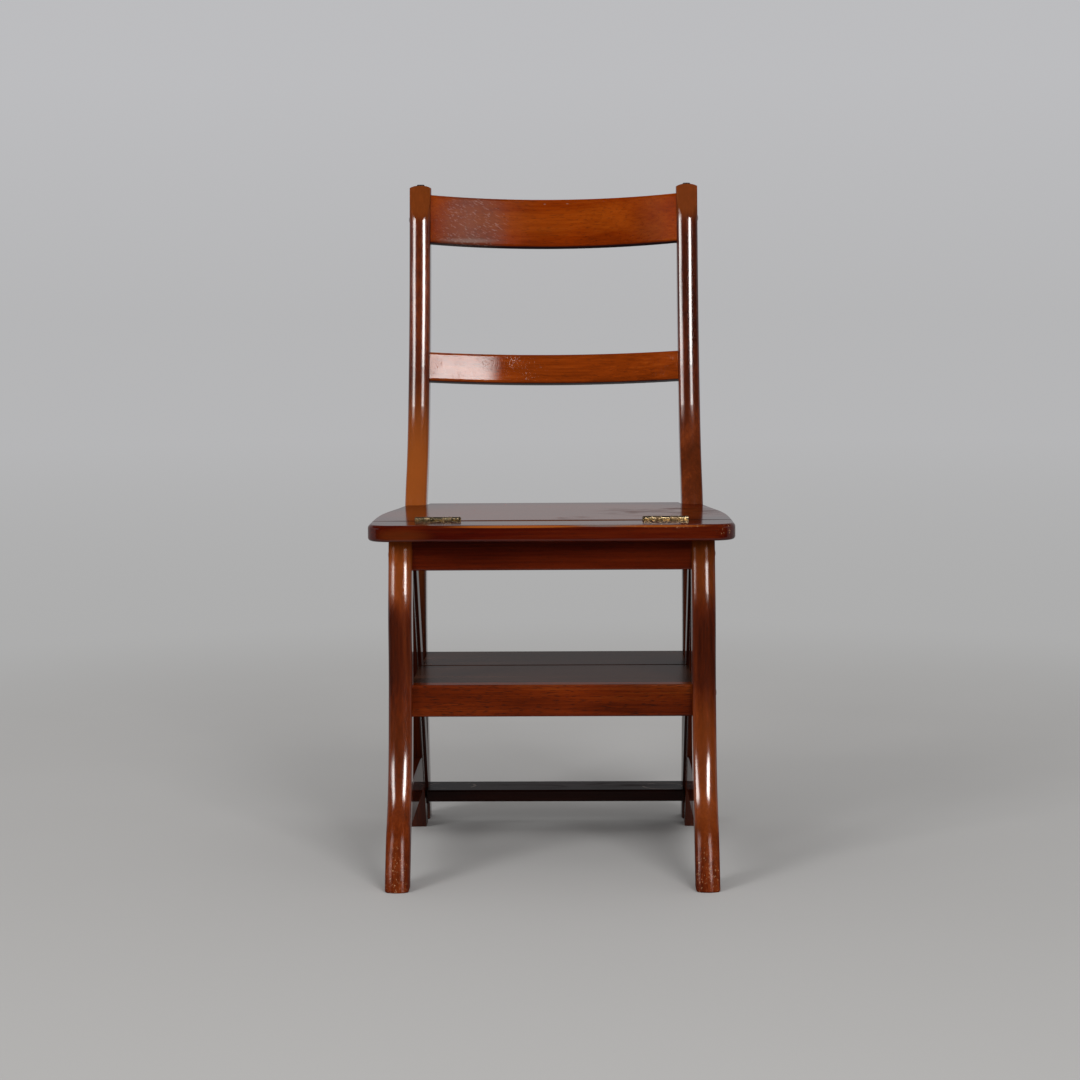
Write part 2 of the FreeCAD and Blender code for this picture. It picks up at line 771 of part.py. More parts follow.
def seat_rear_board(posts):
    """Rear part of the seat, narrowing to the posts and cut round them."""
    body = new_body("seat_rear_board", "0", "0", "seat_bottom")
    front = size("hinge_setback") + size("split_gap") / 2
    inner = size("post_inner_half")
    rear = size("post_seat_setback") + size("post_depth") + size("seat_rear_overhang")
    thickness = size("seat_thickness")
    notch = size("post_seat_setback") + size("seat_notch_set_in")
    half = size("seat_half_width")
    tail_half = inner + size("post_width") - size("seat_tail_inset")
    slot = size("seat_slot_width")
    outline = [
        Part.LineSegment(vector(-half, front, 0), vector(half, front, 0)),
        Part.LineSegment(vector(slot - inner, rear, 0), vector(inner - slot, rear, 0)),
    ]
    for side in (-1, 1):
        flank = [
            vector(side * half, front, 0),
            vector(side * (half - size("seat_hip_draw")), size("seat_hip_setback"), 0),
            vector(side * (half - size("seat_waist_draw")), size("seat_waist_setback"), 0),
            vector(side * tail_half, notch, 0),
        ]
        tail_direction = vector(-side * size("seat_tail_slope"), 1, 0)
        outline.extend(tangent_arcs(flank, vector(0, 1, 0), tail_direction))
        tail = vector(side * tail_half, notch, 0)
        outline.append(Part.LineSegment(tail, vector(side * inner, notch, 0)))
        outline.append(
            Part.LineSegment(vector(side * inner, notch, 0), vector(side * (inner - slot), rear, 0))
        )
    pad(body, new_sketch(body, "XY_Plane", outline), "seat_thickness")

    def outer(height):
        def wanted(edge):
            box = edge.BoundBox
            at_side = box.XMin > inner - 1 or box.XMax < 1 - inner
            is_side = at_side and box.YLength > 1 and box.YMin < notch - 1 and box.XLength < box.YLength
            return at_height(height)(edge) and (is_side or box.YMin > rear - NEAR)

        return wanted

    soften(body, "Fillet", "seat_top_round", outer(thickness))
    soften(body, "Fillet", "seat_bottom_round", outer(0))
    soften(body, "Fillet", "split_round", split_edge(thickness, front))
    hinge_cuts(body, 1)
    return trimmed("seat_rear_board", body, posts)


# Slanting stringers, stretchers and side rails


def side_piece(label, side, inner_half, thickness, points):
    """A flat side piece with the outline of the given points, setback and height."""
    body = new_body(label, inner_half if side > 0 else "-(%s + %s)" % (inner_half, thickness))
    pad(body, new_sketch(body, "YZ_Plane", polygon(points)), thickness)
    return body


def front_stringer(label, side, leg):
    """Slanting side of the lower flight, from the floor to the back of the front leg."""
    top = size("seat_height") - size("seat_thickness") - size("under_seat_gap")
    depth = size("stringer_depth")
    points = [(slant(0, -depth), 0), (slant(0), 0), (slant(top), top), (slant(top, -depth), top)]
    blank = side_piece(label, side, "front_stringer_inner_half", "stringer_thickness", points)
    soften(blank, "Fillet", "stringer_round", runs_whole_length(blank))
    return trimmed(label, blank, [leg])


def rear_stringer(label, side, post):
    """Slanting side that carries the rear steps, from the seat down to the foot of the post."""
    low = size("rear_stringer_bottom")
    top = size("seat_height") - size("seat_thickness")
    near = size("slant_gap")
    far = near + size("stringer_depth")
    points = [
        (slant(low, near), low), (slant(low, far), low), (slant(top, far), top), (slant(top, near), top),
    ]
    blank = side_piece(label, side, "rear_stringer_inner_half", "stringer_thickness", points)
    soften(blank, "Fillet", "stringer_round", runs_whole_length(blank))
    return trimmed(label, blank, [post])


def runs_whole_length(body):
    """Pick the edges that run nearly the whole length of a side piece."""
    whole = body.Shape.BoundBox.YLength
    return lambda edge: edge.BoundBox.YLength > whole / 2


def side_stretcher(label, side, leg):
    """Low bar from the back of a front leg to the front of a stringer."""
    low = size("stretcher_bottom")
    high = low + size("stretcher_height")
    depth = size("stringer_depth")
    middle = size("leg_depth") / 2
    shin = (size("leg_shin_setback") - size("leg_ankle_setback")) / (
        size("leg_shin_height") - size("leg_ankle_height")
    )

    def inside_leg(height):
        return size("leg_ankle_setback") + shin * (height - size("leg_ankle_height")) + middle

    points = [
        (inside_leg(low), low), (slant(low, -depth), low),
        (slant(high, -depth), high), (inside_leg(high), high),
    ]
    blank = side_piece(label, side, "stretcher_inner_half", "stretcher_thickness", points)
    soften(blank, "Fillet", "edge_round", runs_whole_length(blank))
    return trimmed(label, blank, [leg])


def rear_side_rail(label, side, post):
    """Rail under the side of the rear seat, from the stringer to the post."""
    high = size("seat_height") - size("seat_thickness")
    low = high - size("apron_height")
    far = size("slant_gap") + size("stringer_depth")
    inside_post = size("post_seat_setback") + size("side_rail_set_in")
    points = [(slant(low, far), low), (inside_post, low), (inside_post, high), (slant(high, far), high)]
    blank = side_piece(label, side, "rear_stringer_inner_half", "side_rail_thickness", points)
    return trimmed(label, blank, [post])


# Brass hinges


def hinge_leaf(label, side, facing, knuckles):
    """One leaf of a butt hinge, with its own knuckles and countersunk screw holes."""
    body = new_body(label, "%d * hinge_centre" % side, "hinge_setback", "leaf_floor")
    reach = "(knuckle_radius + knuckle_clearance)"
    pitch = "(hinge_length / knuckle_count)"
    axis_height = "(hinge_rise + leaf_thickness - leaf_proud)"
    plate = {"Length": "hinge_length", "Width": "leaf_width - " + reach, "Height": "leaf_thickness"}
    start = "-leaf_width" if facing < 0 else reach
    primitive(body, "AdditiveBox", "plate", plate, "-hinge_length / 2", start, "0")
    turn = FreeCAD.Rotation(vector(0, 1, 0), 90)
    for index in knuckles:
        left = "-hinge_length / 2 + %d * %s + knuckle_gap / 2" % (index, pitch)
        web = {"Length": pitch + " - knuckle_gap", "Width": reach, "Height": "leaf_thickness"}
        web_start = "-%s - knuckle_clearance" % reach if facing < 0 else "knuckle_clearance"
        primitive(body, "AdditiveBox", "web_%d" % index, web, left, web_start, "0")
        barrel = {"Radius": "knuckle_radius", "Height": pitch + " - knuckle_gap"}
        primitive(body, "AdditiveCylinder", "knuckle_%d" % index, barrel, left, "0", axis_height, turn)
    bore = {"Radius": "pin_radius + pin_clearance", "Height": "hinge_length"}
    primitive(body, "SubtractiveCylinder", "bore", bore, "-hinge_length / 2", "0", axis_height, turn)
    for index in (-1, 0, 1):
        sink = {
            "Radius1": "hinge_screw_radius + screw_clearance",
            "Radius2": "hinge_screw_head_radius + screw_clearance",
            "Height": "leaf_thickness",
        }
        primitive(
            body, "SubtractiveCone", "sink_%d" % (index + 2), sink,
            "%d * hinge_screw_spacing" % index, "%d * hinge_screw_offset" % facing, "0",
        )
    doc.recompute()
    return body


def hinge_pin(label, side):
    """Pin through all the knuckles of one hinge, with a small head at each end."""
    body = new_body(label, "%d * hinge_centre" % side, "hinge_setback", "hinge_height")
    turn = FreeCAD.Rotation(vector(0, 1, 0), 90)
    shaft = {"Radius": "pin_radius", "Height": "hinge_length"}
    head = {"Radius": "pin_head_radius", "Height": "pin_head_thickness"}
    primitive(body, "AdditiveCylinder", "shaft", shaft, "-hinge_length / 2", "0", "0", turn)
    for name, start in (("left", "-hinge_length / 2 - pin_head_thickness"), ("right", "hinge_length / 2")):
        primitive(body, "AdditiveCylinder", name + "_head", head, start, "0", "0", turn)
    doc.recompute()
    return body


# Groups of small separate fasteners


def fastener_group(label, solids):
    """Keep identical small pieces together as one group of separate solids."""
    group = doc.addObject("Part::Feature", label)
    group.Label = label
    group.Shape = Part.makeCompound(solids)
    place(group, "0", "0", "0")
    pieces.append(group)
    return group


def hinge_screws(label, facing):
    """Six countersunk screws that hold one side of both hinges."""
    floor = size("seat_height") + size("leaf_proud") - size("leaf_thickness")
    radius = size("hinge_screw_radius")
    solids = []
    for side in (-1, 1):
        for index in (-1, 0, 1):
            spot = vector(
                side * size("hinge_centre") + index * size("hinge_screw_spacing"),
                size("hinge_setback") + facing * size("hinge_screw_offset"),
                floor,
            )
            head = Part.makeCone(radius, size("hinge_screw_head_radius"), size("leaf_thickness"), spot)
            shank_length = size("hinge_screw_length") - size("screw_clearance")
            shank = Part.makeCylinder(radius, shank_length, spot, vector(0, 0, -1))
            solids.append(head.fuse(shank).removeSplitter())
    return fastener_group(label, solids)


def plug(outer_face, side, setback, height):
    """A wooden plug with a low dome, in its counterbore."""
    radius = size("plug_radius")
    depth = size("plug_depth")
    dome = size("plug_dome")
    ball_radius = (radius ** 2 + dome ** 2) / (2 * dome)
    half_way = radius / 2
    shoulder = depth + dome - ball_radius + (ball_radius ** 2 - half_way ** 2) ** 0.5
    top = vector(0, 0, depth + dome)
    rim = vector(radius, 0, depth)
    half_section = Part.Wire([
        Part.makeLine(vector(), vector(radius, 0, 0)),
        Part.makeLine(vector(radius, 0, 0), rim),
        Part.Arc(rim, vector(half_way, 0, shoulder), top).toShape(),
        Part.makeLine(top, vector()),
    ])
    solid = Part.Face(half_section).revolve(vector(), vector(0, 0, 1), 360)
    foot = vector(side * (outer_face - depth), setback, height)
    solid.Placement = FreeCAD.Placement(foot, FreeCAD.Rotation(vector(0, 1, 0), side * 90))
    return solid


def leg_screw(outer_face, side, setback, height):
    """The screw behind a leg's plug, into the end of a rail."""
    return frame_screw(outer_face, side, setback, height, size("frame_screw_length"))


def crest_screw(outer_face, side, setback, height):
    """The shorter screw behind a post's plug, into the end of the bowed crest rail."""
    return frame_screw(outer_face, side, setback, height, size("crest_screw_length"))


def frame_screw(outer_face, side, setback, height, length):
    """A round-headed screw that starts under its plug and points inwards."""
    start = vector(side * (outer_face - size("plug_depth")), setback, height)
    inward = vector(-side, 0, 0)
    head_radius = size("frame_screw_head_radius")
    head = Part.makeCylinder(head_radius, size("frame_screw_head_thickness"), start, inward)
    shank = Part.makeCylinder(size("frame_screw_radius"), length, start, inward)
    return head.fuse(shank).removeSplitter()


def leg_fastenings(make):
    """Make a plug or screw at each apron and step rail joint."""
    outer = size("leg_inner_half") + size("leg_width")
    apron = size("leg_top_setback") + size("front_apron_set_in") + size("apron_thickness") / 2
    apron_middle = size("seat_height") - size("seat_thickness") - size("apron_height") / 2
    step = size("leg_knee_setback") + size("step_rail_set_in") + size("step_screw_set_in")
    step_bottom = size("step_height") - size("step_rail_height")
    solids = []
    for side in (-1, 1):
        solids.append(make(outer, side, apron, apron_middle))
        solids.append(make(outer, side, step, step_bottom + size(STEP_PLUG_RISE[side])))
    return solids


def crest_fastenings(make, crest):
    """Make a plug or screw at each end of the crest rail, where the rail stands."""
    outer = size("post_inner_half") + size("post_width")
    spot = crest.Placement.multVec(vector(0, size("crest_thickness") / 2, size("crest_plug_rise")))
    setback = spot.y + (size("post_top_setback") - size("crest_lead")) - crest.Placement.Base.y
    return [make(outer, side, setback, spot.z) for side in (-1, 1)]


def glide(label, side):
    """A black domed glide on top of a post, the foot of the steps."""
    middle = "%d * (post_inner_half + post_width / 2)" % side
    body = new_body(label, middle, "post_top_setback + glide_setback", "wood_top")
    cap = {"Radius": "glide_radius", "Height": "glide_proud"}
    primitive(body, "AdditiveCylinder", "cap", cap, "0", "0", "0")
    doc.recompute()
    soften(body, "Fillet", "glide_round", at_height(size("glide_proud")))
    stem = {"Radius": "glide_stem_radius", "Height": "glide_stem_length"}
    primitive(body, "AdditiveCylinder", "stem", stem, "0", "0", "-glide_stem_length")
    doc.recompute()
    return body


legs = {-1: front_leg("front_leg_left", -1), 1: front_leg("front_leg_right", 1)}
posts = {-1: rear_post("rear_post_left", -1), 1: rear_post("rear_post_right", 1)}
seat_front_board()
seat_rear_board(list(posts.values()))
front_apron()
step_rail()
board(
    "front_step_board", "front_stringer_inner_half", "step_rail_setback + step_rail_thickness",
    "step_slant", "step_height - step_thickness", "step_height", ("rear_top", "rear_bottom"),
)
board(
    "rear_step_board", "rear_stringer_inner_half",
    "step_slant + step_gap", "post_knee_setback + rear_step_reach",
    "step_height - step_thickness", "step_height", ALL_EDGES,
)
board(
    "top_step_board", "rear_stringer_inner_half",
    "low_step_slant - low_step_nosing", "low_step_slant - low_step_nosing + low_step_depth",
    "low_step_height - low_step_thickness", "low_step_height", ALL_EDGES,
)
board(
    "rear_apron", "post_inner_half", "rear_apron_setback", "rear_apron_setback + apron_thickness",
    "apron_bottom", "seat_bottom", ("front_bottom", "rear_bottom"),
)
crest = crest_rail()
bowed_rail("back_rail", "back_rail")
for side, word in ((-1, "left"), (1, "right")):
    front_stringer("front_stringer_" + word, side, legs[side])
    rear_stringer("rear_stringer_" + word, side, posts[side])
    side_stretcher("side_stretcher_" + word, side, legs[side])
    rear_side_rail("rear_side_rail_" + word, side, posts[side])
    hinge_leaf("hinge_front_leaf_" + word, side, -1, (0, 2, 4))
    hinge_leaf("hinge_rear_leaf_" + word, side, 1, (1, 3))
    hinge_pin("hinge_pin_" + word, side)
    glide("post_glide_" + word, side)
hinge_screws("hinge_screws_front", -1)
hinge_screws("hinge_screws_rear", 1)
fastener_group("leg_plugs", leg_fastenings(plug))
fastener_group("leg_screws", leg_fastenings(leg_screw))
fastener_group("post_plugs", crest_fastenings(plug, crest))
fastener_group("post_screws", crest_fastenings(crest_screw, crest))
doc.recompute()

# Check everything before writing anything

for thing in doc.Objects:
    if "Invalid" in thing.State or "Error" in thing.State:
        raise RuntimeError("%s did not recompute: %s" % (thing.Label, thing.State))
for piece in pieces:
    if piece.Shape.isNull() or not piece.Shape.isValid() or not piece.Shape.Solids:
        raise RuntimeError("%s has no valid solid" % piece.Label)

os.makedirs("parts", exist_ok=True)
for piece in pieces:
    piece.Shape.exportStep("parts/%s.step" % piece.Label)
    box = piece.Shape.BoundBox
    print("%-24s %2d solids, volume %9.0f, y %7.1f %7.1f, z %6.1f %6.1f" % (
        piece.Label, len(piece.Shape.Solids), piece.Shape.Volume, box.YMin, box.YMax, box.ZMin, box.ZMax,
    ))
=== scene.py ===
"""Finish, light and camera for a polished mahogany chair whose back half folds over into steps."""
import logging
import math
from abc import ABC, abstractmethod
from collections.abc import Iterable
from dataclasses import dataclass
from enum import Enum
from typing import NamedTuple

import bpy
from mathutils import Matrix, Vector

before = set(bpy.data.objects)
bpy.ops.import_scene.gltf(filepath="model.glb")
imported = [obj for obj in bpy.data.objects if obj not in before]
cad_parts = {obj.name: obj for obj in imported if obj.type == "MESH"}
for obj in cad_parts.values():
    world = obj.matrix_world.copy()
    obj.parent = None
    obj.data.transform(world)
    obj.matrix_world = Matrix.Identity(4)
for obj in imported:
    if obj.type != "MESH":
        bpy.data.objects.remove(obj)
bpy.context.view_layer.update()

LOG = logging.getLogger("step_chair")

Colour = tuple[float, float, float]
Point = tuple[float, float, float]
Pair = tuple[float, float]
Stops = tuple[tuple[float, Colour], ...]
Socket = bpy.types.NodeSocket
Value = float | Colour | Socket


class Grain(Enum):
    """Which way the fibres of a member run, as the turn that brings its X axis onto them."""

    ACROSS = (0.0, 0.0, 0.0)
    DEEP = (0.0, 0.0, math.radians(90))
    UPRIGHT = (0.0, math.radians(90), 0.0)
    SLANTING = (0.0, math.radians(61), math.radians(90))


class Wear(Enum):
    """What years of use have done to a patch of polish, and the light and shade painted onto some
    patches.
    """

    FADED_AND_LIT = "faded"
    GRIMY_AND_SHADED = "grimed"
    DULLED = "dulled"
    SCRATCHED_SHEEN = "bloomed"
    SHEEN_AND_FLECKS = "misted"
    CHIPPED = "chipped"
    SCUFFED = "scuffed"
    RINGED = "ringed"


@dataclass(frozen=True)
class Patch:
    """A soft-edged region of wear or of painted light or shade: an ellipsoid about a point, in
    metres.

    The wear is as strong as the amount within the core, which is a share of the reach, and fades
    from there to nothing.
    """

    wear: Wear
    centre: Point
    reach: Point
    amount: float = 1.0
    core: float = 0.45


@dataclass(frozen=True)
class Figure:
    """A layer of fractal noise.

    Its scale is how often it repeats in a metre, alike all ways or along X, Y and Z. Its marks
    begin to show where the noise reaches the first edge and are full at the second.
    """

    scale: float | Point
    detail: float = 2.0
    rough: float = 0.5
    twist: float = 0.0
    edges: Pair = (0.0, 1.0)


@dataclass(frozen=True)
class Relief:
    """How strongly a height turns the light, and how deep it is in metres."""

    strength: float
    depth: float


@dataclass(frozen=True)
class Edge:
    """What counts as an edge.

    Its bend is felt within the radius, in metres. Between a face and the rounded face, nothing
    bends down to the flat cosine, and the bend counts in full at the sharp one.
    """

    radius: float
    flat: float
    sharp: float


STREAKS = Figure((1.3, 16.0, 16.0), 5.0, 0.55, 0.9)
FIBRES = Figure((9.0, 330.0, 330.0), 3.0, 0.6)
PORES = Figure((90.0, 1100.0, 1100.0), 1.0, edges=(0.58, 0.72))
CLOUDS = Figure(7.0)
RUBS = Figure(60.0, 4.0, 0.7, edges=(0.50, 0.68))
WAVES = Figure(16.0, 1.0)
DENT_FIELDS = Figure(30.0, 1.0, edges=(0.46, 0.62))
DENTS = Figure(480.0, 1.0, edges=(0.54, 0.72))
HAIRLINES = Figure((110.0, 700.0, 700.0), edges=(0.60, 0.67))
FLAKES = Figure(330.0, 4.0, 0.7, edges=(0.60, 0.65))
STROKES = Figure((18.0, 120.0, 120.0), 3.0, 0.6, 0.8, (0.50, 0.60))
RING_BREAKS = Figure(40.0, edges=(0.40, 0.55))
BLOTCHES = Figure(180.0, 4.0, 0.65, 0.4)
SCORES = Figure((300.0, 2600.0, 900.0))
GRIT = Figure(900.0, 4.0, 0.7)
RUST_SPOTS = Figure(500.0, 4.0, 0.7, edges=(0.52, 0.66))
MOTTLE = Figure(3.0, 4.0, edges=(0.3, 0.7))
WEAVE = Figure(200.0)

WOOD_EDGE = Edge(0.0022, 0.985, 0.88)
BRASS_EDGE = Edge(0.0006, 0.99, 0.90)
EDGE_SAMPLES = 6

GRAIN_RELIEF = Relief(0.15, 0.0003)
PRINT_RELIEF = Relief(0.04, 0.0002)
HOLLOW_RELIEF = Relief(1.0, 1.0)
SCORE_RELIEF = Relief(0.25, 0.0001)
GRIT_RELIEF = Relief(0.3, 0.0002)
PORE_SINK = 0.0003
WAVE_RISE = 0.0012
DENT_SINK = 0.0004

STREAK_SHARE = 0.68
FIBRE_SHARE = 0.32
TONE_STOPS = (0.34, 0.50, 0.68)
CLOUD_STOPS: Pair = (0.3, 0.7)
NOISE_RANGE: Pair = (0.2, 0.8)
WOOD_ROUGHNESS: Pair = (0.42, 0.54)
RUBBED_ROUGHNESS = 0.2
DULLED_ROUGHNESS = 0.35
ROUGHEST = 0.9
COAT_IOR = 1.5
UNDERSIDE: Pair = (-0.35, -0.80)

HAIRLINE_TURN: Point = (0.0, -0.45, 0.0)
HAIRLINE_GAIN = 2.2
SCUFF_STAIN = 0.35
SCUFF_DULLING = 0.8
RING_RADIUS = 0.8
RING_WIDTH: Pair = (0.07, 0.02)

RAW_WOOD: Colour = (0.46, 0.25, 0.13)
RUBBED_AND_LIT: Colour = (0.30, 0.074, 0.011)
GRIME_AND_SHADE: Colour = (0.012, 0.006, 0.004)
HAZE_AND_SHEEN: Colour = (0.22, 0.17, 0.145)
GLINT: Colour = (0.55, 0.42, 0.36)
SHADE: Colour = (0.010, 0.008, 0.011)
PATCH_COLOURS: dict[Wear, Colour] = {
    Wear.FADED_AND_LIT: RUBBED_AND_LIT, Wear.GRIMY_AND_SHADED: GRIME_AND_SHADE, Wear.SCRATCHED_SHEEN: HAZE_AND_SHEEN, Wear.SHEEN_AND_FLECKS: HAZE_AND_SHEEN,
}


class Bench:
    """Lays out the nodes of one procedural material, or of the world."""

    def __init__(self, owner: bpy.types.Material | bpy.types.World) -> None:
        """Clear the owner's nodes.

        Args:
            owner: The new material or world.
        """
        owner.use_nodes = True
        self.owner = owner
        self.tree = owner.node_tree
        self.tree.nodes.clear()

    @classmethod
    def for_material(cls, name: str) -> "Bench":
        """Start an empty material of a given name."""
        return cls(bpy.data.materials.new(name))

    def add(self, kind: str, inputs: dict[str | int, Value] | None = None,
            **settings) -> bpy.types.Node:
        """Add a node, set its options and feed its inputs.

        Args:
            kind: The node's Blender type without its ShaderNode prefix.
            inputs: Constants or sockets by input name or number.
            **settings: Options of the node itself.

        Returns:
            The new node.
        """
        node = self.tree.nodes.new("ShaderNode" + kind)
        for option, choice in settings.items():
            setattr(node, option, choice)
        for key, value in (inputs or {}).items():
            self.feed(node.inputs[key], value)
        return node

    def feed(self, socket: Socket, value: Value) -> None:
        """Link a socket to an input, or set the input to a constant.

        Args:
            socket: The input.
            value: A socket, a number, a colour or a vector.
        """
        if isinstance(value, bpy.types.NodeSocket):
            self.tree.links.new(value, socket)
        elif socket.type == "RGBA":
            socket.default_value = (*value, 1.0)
        else:
            socket.default_value = value

    def maths(self, operation: str, first: Value, second: Value = 0.0,
              clamp: bool = False) -> Socket:
        """Return the result of one arithmetic step on two numbers."""
        node = self.add("Math", {0: first, 1: second}, operation=operation, use_clamp=clamp)
        return node.outputs[0]

    def times(self, first: Value, second: Value) -> Socket:
        """Return two numbers multiplied."""
        return self.maths("MULTIPLY", first, second)

    def span(self, value: Value, low: float, high: float, start: float = 0.0,
             end: float = 1.0) -> Socket:
        """Return a value mapped smoothly from low..high to start..end, and held there outside."""
        node = self.add(
            "MapRange",
            {"Value": value, "From Min": low, "From Max": high, "To Min": start, "To Max": end},
            interpolation_type="SMOOTHSTEP",
        )
        return node.outputs[0]

    def blend(self, share: Value, first: Value, second: Value, mode: str = "MIX") -> Socket:
        """Return two colours mixed by a share."""
        node = self.add("Mix", data_type="RGBA", blend_type=mode)
        # A Mix node has sockets for every kind of value: 6, 7 and output 2 are those for colours.
        self.feed(node.inputs[0], share)
        self.feed(node.inputs[6], first)
        self.feed(node.inputs[7], second)
        return node.outputs[2]

    def ramp(self, value: Value, stops: Iterable[tuple[float, Colour]]) -> Socket:
        """Return the colour found at a value between the given stops."""
        node = self.add("ValToRGB", {"Fac": value})
        row = node.color_ramp.elements
        for number, (place, colour) in enumerate(stops):
            stop = row[number] if number < len(row) else row.new(place)
            stop.position = place
            stop.color = (*colour, 1.0)
        return node.outputs["Color"]

    def stretch(self, vector: Socket, scale: Point = (1.0, 1.0, 1.0),
                turn: Point = (0.0, 0.0, 0.0), shift: Point = (0.0, 0.0, 0.0)) -> Socket:
        """Return a vector scaled, turned and moved."""
        node = self.add(
            "Mapping", {"Vector": vector, "Scale": scale, "Rotation": turn, "Location": shift}
        )
        return node.outputs[0]

    def noise(self, vector: Socket, figure: Figure) -> Socket:
        """Return a figure's noise at a vector, from 0 to 1."""
        scale = figure.scale
        if isinstance(scale, tuple):
            vector, scale = self.stretch(vector, scale), 1.0
        node = self.add(
            "TexNoise",
            {"Vector": vector, "Scale": scale, "Detail": figure.detail,
             "Roughness": figure.rough, "Distortion": figure.twist},
        )
        return node.outputs[0]

    def marks(self, vector: Socket, figure: Figure) -> Socket:
        """Return how much a figure's marks show at a vector, from 0 to 1."""
        return self.span(self.noise(vector, figure), *figure.edges)

    def bump(self, height: Socket, relief: Relief, under: Socket | None = None) -> Socket:
        """Return the normal of a relief, laid over another normal where one is given."""
        node = self.add(
            "Bump", {"Height": height, "Strength": relief.strength, "Distance": relief.depth}
        )
        if under is not None:
            self.feed(node.inputs["Normal"], under)
        return node.outputs[0]

    def bend(self, edge: Edge) -> Socket:
        """Return how sharply the surface bends at a point: 0 on a face, 1 on an edge."""
        rounded = self.add("Bevel", {"Radius": edge.radius}, samples=EDGE_SAMPLES)
        facing = self.add("VectorMath", {0: rounded.outputs[0]}, operation="DOT_PRODUCT")
        self.feed(facing.inputs[1], self.add("NewGeometry").outputs["Normal"])
        return self.span(facing.outputs["Value"], edge.flat, edge.sharp)

    def rest(self, share: Socket) -> Socket:
        """Return what a share leaves of the whole."""
        return self.maths("SUBTRACT", 1.0, share)

    def place(self) -> Socket:
        """Return the point being shaded, in the piece's own coordinates."""
        return self.add("TexCoord").outputs["Object"]

    def part(self, vector: Socket, axis: str) -> Socket:
        """Return a vector's part along one axis."""
        return self.add("SeparateXYZ", {0: vector}).outputs[axis]

    def length(self, vector: Socket) -> Socket:
        """Return a vector's length."""
        return self.add("VectorMath", {0: vector}, operation="LENGTH").outputs["Value"]

    def shown(self) -> Socket:
        """Return 1 for a ray that shows the surface itself: seen, mirrored or through glass."""
        ray = self.add("LightPath")
        straight = self.maths("MAXIMUM", ray.outputs["Is Camera Ray"], ray.outputs["Is Glossy Ray"])
        return self.maths("MAXIMUM", straight, ray.outputs["Is Transmission Ray"])

    def finish(self, shader: Socket) -> bpy.types.Material | bpy.types.World:
        """Send a shader to the surface and return the material or world."""
        output = "OutputWorld" if isinstance(self.owner, bpy.types.World) else "OutputMaterial"
        self.add(output, {"Surface": shader})
        return self.owner


@dataclass
class Skin:
    """What a finish is like so far: its colour, its roughness and its share of polish.

    The point is the one being shaded, and along is the same with X running along the fibres.
    """

    bench: Bench
    point: Socket
    along: Socket
    colour: Socket
    rough: Socket
    shine: Value

    def colour_over(self, share: Socket, colour: Colour) -> None:
        """Cover a share of the surface with a colour."""
        self.colour = self.bench.blend(share, self.colour, colour)

    def dull(self, share: Socket) -> None:
        """Take a share of the polish off and roughen the wood under it."""
        bench = self.bench
        self.shine = bench.times(self.shine, bench.rest(share))
        self.rough = bench.maths("ADD", self.rough, bench.times(share, DULLED_ROUGHNESS))

    def wear(self, patch: Patch) -> None:
        """Lay one patch of wear, or of painted light or shade, over the finish.

        Args:
            patch: Where the wear is and of what kind.
        """
        bench = self.bench
        scale = tuple(1.0 / reach for reach in patch.reach)
        shift = tuple(-centre / reach for centre, reach in zip(patch.centre, patch.reach))
        away = bench.length(bench.stretch(self.point, scale, shift=shift))
        inside = bench.times(bench.span(away, 1.0, patch.core), patch.amount)
        if patch.wear in PATCH_COLOURS:
            self.colour_over(inside, PATCH_COLOURS[patch.wear])
        if patch.wear is Wear.DULLED:
            self.dull(inside)
        elif patch.wear is Wear.SCRATCHED_SHEEN:
            self.scratch_with_glints(inside)
        elif patch.wear is Wear.CHIPPED:
            self.chip(inside)
        elif patch.wear is Wear.SCUFFED:
            self.scuff(inside)
        elif patch.wear is Wear.RINGED:
            self.ring(away, patch.amount)

    def scratch_with_glints(self, inside: Socket) -> None:
        """Lay hairline scratches, a little aslant to the fibres, with painted glints along them,
        over a share of the surface.
        """
        slant = self.bench.stretch(self.along, turn=HAIRLINE_TURN)
        glints = self.bench.times(self.bench.marks(slant, HAIRLINES), inside)
        self.colour_over(self.bench.maths("MULTIPLY", glints, HAIRLINE_GAIN, True), GLINT)

    def chip(self, inside: Socket) -> None:
        """Flake the finish down to bare wood over a share of the surface."""
        lost = self.bench.times(inside, self.bench.marks(self.point, FLAKES))
        self.colour_over(lost, RAW_WOOD)
        self.dull(lost)

    def scuff(self, inside: Socket) -> None:
        """Drag dull, dirty strokes over a share of the surface."""
        marked = self.bench.times(inside, self.bench.marks(self.along, STROKES))
        self.colour_over(self.bench.times(marked, SCUFF_STAIN), GRIME_AND_SHADE)
        self.dull(self.bench.times(marked, SCUFF_DULLING))

    def ring(self, away: Socket, amount: float) -> None:
        """Leave the broken ring of a wet glass.

        Args:
            away: How far a point is from the ring's middle, 1 at the patch's reach.
            amount: How strongly the ring shows.
        """
        bench = self.bench
        off = bench.maths("ABSOLUTE", bench.maths("SUBTRACT", away, RING_RADIUS))
        line = bench.times(bench.span(off, *RING_WIDTH), bench.marks(self.point, RING_BREAKS))
        self.colour_over(bench.times(line, amount), HAZE_AND_SHEEN)


@dataclass(frozen=True)
class Finish(ABC):
    """A procedural material that pieces can be dressed in."""

    name: str

    @abstractmethod
    def material(self) -> bpy.types.Material:
        """Build the finish and return it."""


class Tones(NamedTuple):
    """The colours of polished wood: its dark streaks, its body and its light streaks."""

    dark: Colour
    body: Colour
    light: Colour


